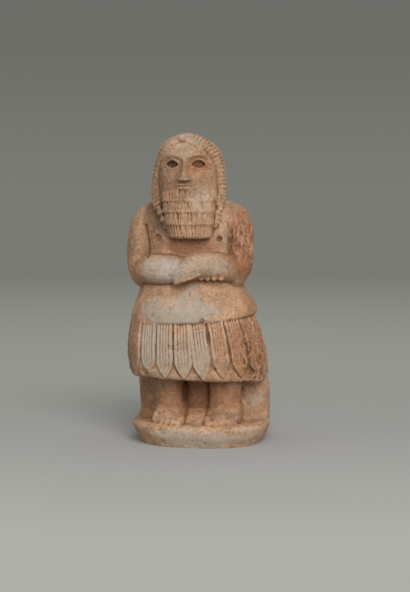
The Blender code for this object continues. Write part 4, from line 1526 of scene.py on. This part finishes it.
def backdrop(scene, stage):
    """A plain tone behind the figure, and an even light from all round."""
    world = bpy.data.worlds.new("studio")
    world.use_nodes = True
    tree = world.node_tree
    tree.nodes.clear()
    seen = add_node(tree, "ShaderNodeBackground", {"Color": toned(stage.backdrop_colour)})
    light = add_node(tree, "ShaderNodeBackground", {"Color": FILL_COLOUR, "Strength": stage.fill_strength})
    path = add_node(tree, "ShaderNodeLightPath").outputs["Is Camera Ray"]
    both = add_node(tree, "ShaderNodeMixShader", {0: path, 1: light.outputs[0], 2: seen.outputs[0]})
    add_node(tree, "ShaderNodeOutputWorld", {"Surface": both.outputs[0]})
    scene.world = world
    scene.view_settings.view_transform = "Standard"


def soft_light(name, place, size, power):
    lamp = bpy.data.lights.new(name, "AREA")
    lamp.shape = "DISK"
    lamp.size = size
    lamp.energy = power
    made = bpy.data.objects.new(name, lamp)
    made.location = place
    made.rotation_euler = (LOOKED_AT - Vector(place)).to_track_quat("-Z", "Y").to_euler()
    made.visible_camera = False
    bpy.context.scene.collection.objects.link(made)


def photo_camera(scene):
    """Stands where the photograph was taken from: a little to the figure's left, and a little above it."""
    azimuth, elevation = math.radians(CAMERA_AZIMUTH), math.radians(CAMERA_ELEVATION)
    level = math.cos(elevation)
    back = Vector((math.sin(azimuth) * level, -math.cos(azimuth) * level, math.sin(elevation)))
    right = Vector((math.cos(azimuth), math.sin(azimuth), 0))
    lens = bpy.data.cameras.new("camera")
    lens.lens = CAMERA_LENS
    lens.sensor_width = CAMERA_SENSOR
    lens.clip_start = 0.01
    camera = bpy.data.objects.new("camera", lens)
    target = LOOKED_AT + right * CAMERA_SHIFT
    camera.location = target + back * CAMERA_DISTANCE
    camera.rotation_euler = (-back).to_track_quat("-Z", "Y").to_euler()
    scene.collection.objects.link(camera)
    scene.camera = camera


# Operators

ROUGH_OUT = "rough_figure"
ROWS = []


def keep_row(made, name):
    """Keeps a row of copies as an object until the stone is fused."""
    row = bpy.data.objects.new(name, made)
    bpy.context.scene.collection.objects.link(row)
    ROWS.append(name)


class STATUETTE_OT_carve_figure(Operator):
    """Block out the plinth, legs, dress, body, hands and head"""

    bl_idname = "statuette.carve_figure"
    bl_label = "Carve Figure"

    def execute(self, context):
        if STONE not in bpy.data.materials:
            stone_material(context.scene.statuette_stone)
        placed_mesh(ROUGH_OUT, lower_forms() + upper_forms() + head_forms())
        return {"FINISHED"}


class STATUETTE_OT_carve_tongues(Operator):
    """Hang the tongues round the skirt"""

    bl_idname = "statuette.carve_tongues"
    bl_label = "Carve Skirt Tongues"

    def execute(self, context):
        count = context.scene.statuette_carving.tongue_count
        angles = np.linspace(0, 2 * math.pi, 720, endpoint=False) - math.pi / 2 - TONGUE_START
        path = surface_path(SKIRT, TONGUE_TIP, TONGUE_TOP, angles, closed=True)
        x, y = path[0][:, 0], path[0][:, 1]
        tip_rise = hem_rise(x, y) + RIGHT_TIP_RISE * soften(-x, 18, 40) + LEFT_TIP_RISE * soften(x, 8, 26)
        path[0][:, 2] += tip_rise
        pitch = length_of(path[0], closed=True) / count
        blade = unlinked_copy("tongue_blade", tongue_blade(pitch))
        made = row_of("skirt_tongues", path, blade, count, True, size_spread=0.03, tilt_spread=0.02, seed=4)
        keep_row(made, "skirt_tongues")
        return {"FINISHED"}


class STATUETTE_OT_carve_beard(Operator):
    """Cut the beard's locks, tier by tier"""

    bl_idname = "statuette.carve_beard"
    bl_label = "Carve Beard"

    def execute(self, context):
        pitch = context.scene.statuette_carving.lock_pitch / MODULE
        lock = unlinked_copy("beard_lock", beard_lock())
        angles = np.linspace(-BEARD_HALF_TURN, BEARD_HALF_TURN, 200) - math.pi / 2
        for tier, level in enumerate(BEARD_TIERS[:-1]):
            top_tier = tier == len(BEARD_TIERS) - 2
            path = surface_path(BEARD, level - TOP_TIER_DROP * top_tier, level + 8, angles)
            count = int(length_of(path[0]) / pitch) + tier % 2
            name = f"beard_tier_{tier}"
            made = row_of(name, path, lock, count, size_spread=0.09, tilt_spread=0.07, seed=10 + tier)
            keep_row(made, name)
        return {"FINISHED"}


class STATUETTE_OT_carve_hair(Operator):
    """Cut the ridges of the braid and of the other side, and the curls of the thin side lock"""

    bl_idname = "statuette.carve_hair"
    bl_label = "Carve Hair"

    def execute(self, context):
        carving = context.scene.statuette_carving
        braid = limb_path(BRAID, 0.02, 0.96, slant=0.2)
        braid[0][:, 0] += BRAID_SHIFT
        ridges = int(length_of(braid[0]) / (carving.ridge_pitch / MODULE))
        temple = limb_path(HAIR_EDGE, 0.1, 0.72, slant=-0.5)
        end = limb_path(HAIR_EDGE, 0.79, 1.0, lift=0.8)
        end[0][:, 0] += CURL_SHIFT
        curl = ellipsoid(0.88, 0.95, 0.8)
        for name, path, form, count, size_spread, tilt_spread, seed in (
            ("braid_ridge", braid, ridge_disc(), ridges, 0.08, 0.12, 21),
            ("side_ridge", temple, side_disc(), SIDE_RIDGES, 0.05, 0.0, 25),
            ("side_curl", end, curl, carving.curl_count, 0.06, 0.0, 31),
        ):
            pattern = unlinked_copy(name, form)
            made = row_of(f"{name}s", path, pattern, count, False, size_spread, tilt_spread, seed)
            keep_row(made, f"{name}s")
        return {"FINISHED"}


class STATUETTE_OT_weather_stone(Operator):
    """Fuse the carving into one stone, then wear, chip and stain it"""

    bl_idname = "statuette.weather_stone"
    bl_label = "Weather Stone"

    def execute(self, context):
        carving = context.scene.statuette_carving
        rough_parts = [bpy.data.objects[name] for name in (ROUGH_OUT, *ROWS)]
        points, triangles = joined([arrays_of(part.data) for part in rough_parts])
        for part in rough_parts:
            bpy.data.objects.remove(part)
        ROWS.clear()
        carved = mesh_object(PIECE, points, triangles)
        with_modifier(carved, "fuse", "REMESH", mode="VOXEL", voxel_size=carving.grain, adaptivity=0.0)
        surface = Surface(carved.data)
        chipped, flakes = weathered(surface, context.scene.statuette_stone.wear)
        surface.points[:, 2] = np.maximum(surface.points[:, 2], 0)
        hollow, edge = depth_marks(surface)
        bpy.data.objects.remove(carved)
        carved = mesh_object(PIECE, surface.points / 1000, surface.triangles)
        ratio = carving.face_limit / len(surface.triangles)
        with_modifier(carved, "thin", "DECIMATE", decimate_type="COLLAPSE", ratio=min(1.0, ratio))
        mesh = carved.data
        tree = KDTree(surface.count)
        for index, point in enumerate((surface.points / 1000).tolist()):
            tree.insert(point, index)
        tree.balance()
        nearest = np.array([tree.find(vertex.co)[1] for vertex in mesh.vertices])
        marks = {
            "hollow": hollow,
            "edge": edge,
            "fresh": np.maximum(chipped, 0.5 * flakes),
            "socket": socket_mark(surface.points),
        }
        for label, values in marks.items():
            store_mark(mesh, label, values[nearest])
        mesh.shade_smooth()
        mesh.materials.clear()
        mesh.materials.append(bpy.data.materials[STONE])
        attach(carved, BODY)
        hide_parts(NODE)
        return {"FINISHED"}


class STATUETTE_OT_set_stage(Operator):
    """Set the floor, the backdrop tone, the lights and the camera"""

    bl_idname = "statuette.set_stage"
    bl_label = "Set Stage"

    def execute(self, context):
        stage = context.scene.statuette_stage
        floor_disc(stage)
        backdrop_wall(stage)
        backdrop(context.scene, stage)
        for name, place, size, share in SOFT_LIGHTS:
            soft_light(name, place, size, share * stage.key_power)
        photo_camera(context.scene)
        return {"FINISHED"}


class STATUETTE_PT_sidebar(Panel):
    """The statuette's settings and its steps"""

    bl_idname = "STATUETTE_PT_sidebar"
    bl_label = "Stone Priest Statuette"
    bl_space_type = "VIEW_3D"
    bl_region_type = "UI"
    bl_category = "Statuette"

    def draw(self, context):
        for label, steps in (
            ("statuette_carving", FORM_STEPS),
            ("statuette_stone", STONE_STEPS),
            ("statuette_stage", STAGE_STEPS),
        ):
            box = self.layout.box()
            settings = getattr(context.scene, label)
            for name in settings.__annotations__:
                box.prop(settings, name)
            for step in steps:
                box.operator(step.bl_idname)


FORM_STEPS = (
    STATUETTE_OT_carve_figure,
    STATUETTE_OT_carve_tongues,
    STATUETTE_OT_carve_beard,
    STATUETTE_OT_carve_hair,
)
STONE_STEPS = (STATUETTE_OT_weather_stone,)
STAGE_STEPS = (STATUETTE_OT_set_stage,)
SETTINGS = (
    ("statuette_carving", StatuetteCarving),
    ("statuette_stone", StatuetteStone),
    ("statuette_stage", StatuetteStage),
)
CLASSES = (*(kind for _, kind in SETTINGS), *FORM_STEPS, *STONE_STEPS, *STAGE_STEPS, STATUETTE_PT_sidebar)


def register():
    for kind in CLASSES:
        bpy.utils.register_class(kind)
    for name, kind in SETTINGS:
        setattr(bpy.types.Scene, name, PointerProperty(type=kind))


def unregister():
    for name, _ in SETTINGS:
        delattr(bpy.types.Scene, name)
    for kind in reversed(CLASSES):
        bpy.utils.unregister_class(kind)


def main():
    register()
    bpy.ops.statuette.carve_figure()
    bpy.ops.statuette.carve_tongues()
    bpy.ops.statuette.carve_beard()
    bpy.ops.statuette.carve_hair()
    bpy.ops.statuette.weather_stone()
    bpy.ops.statuette.set_stage()


if __name__ == "__main__":
    main()
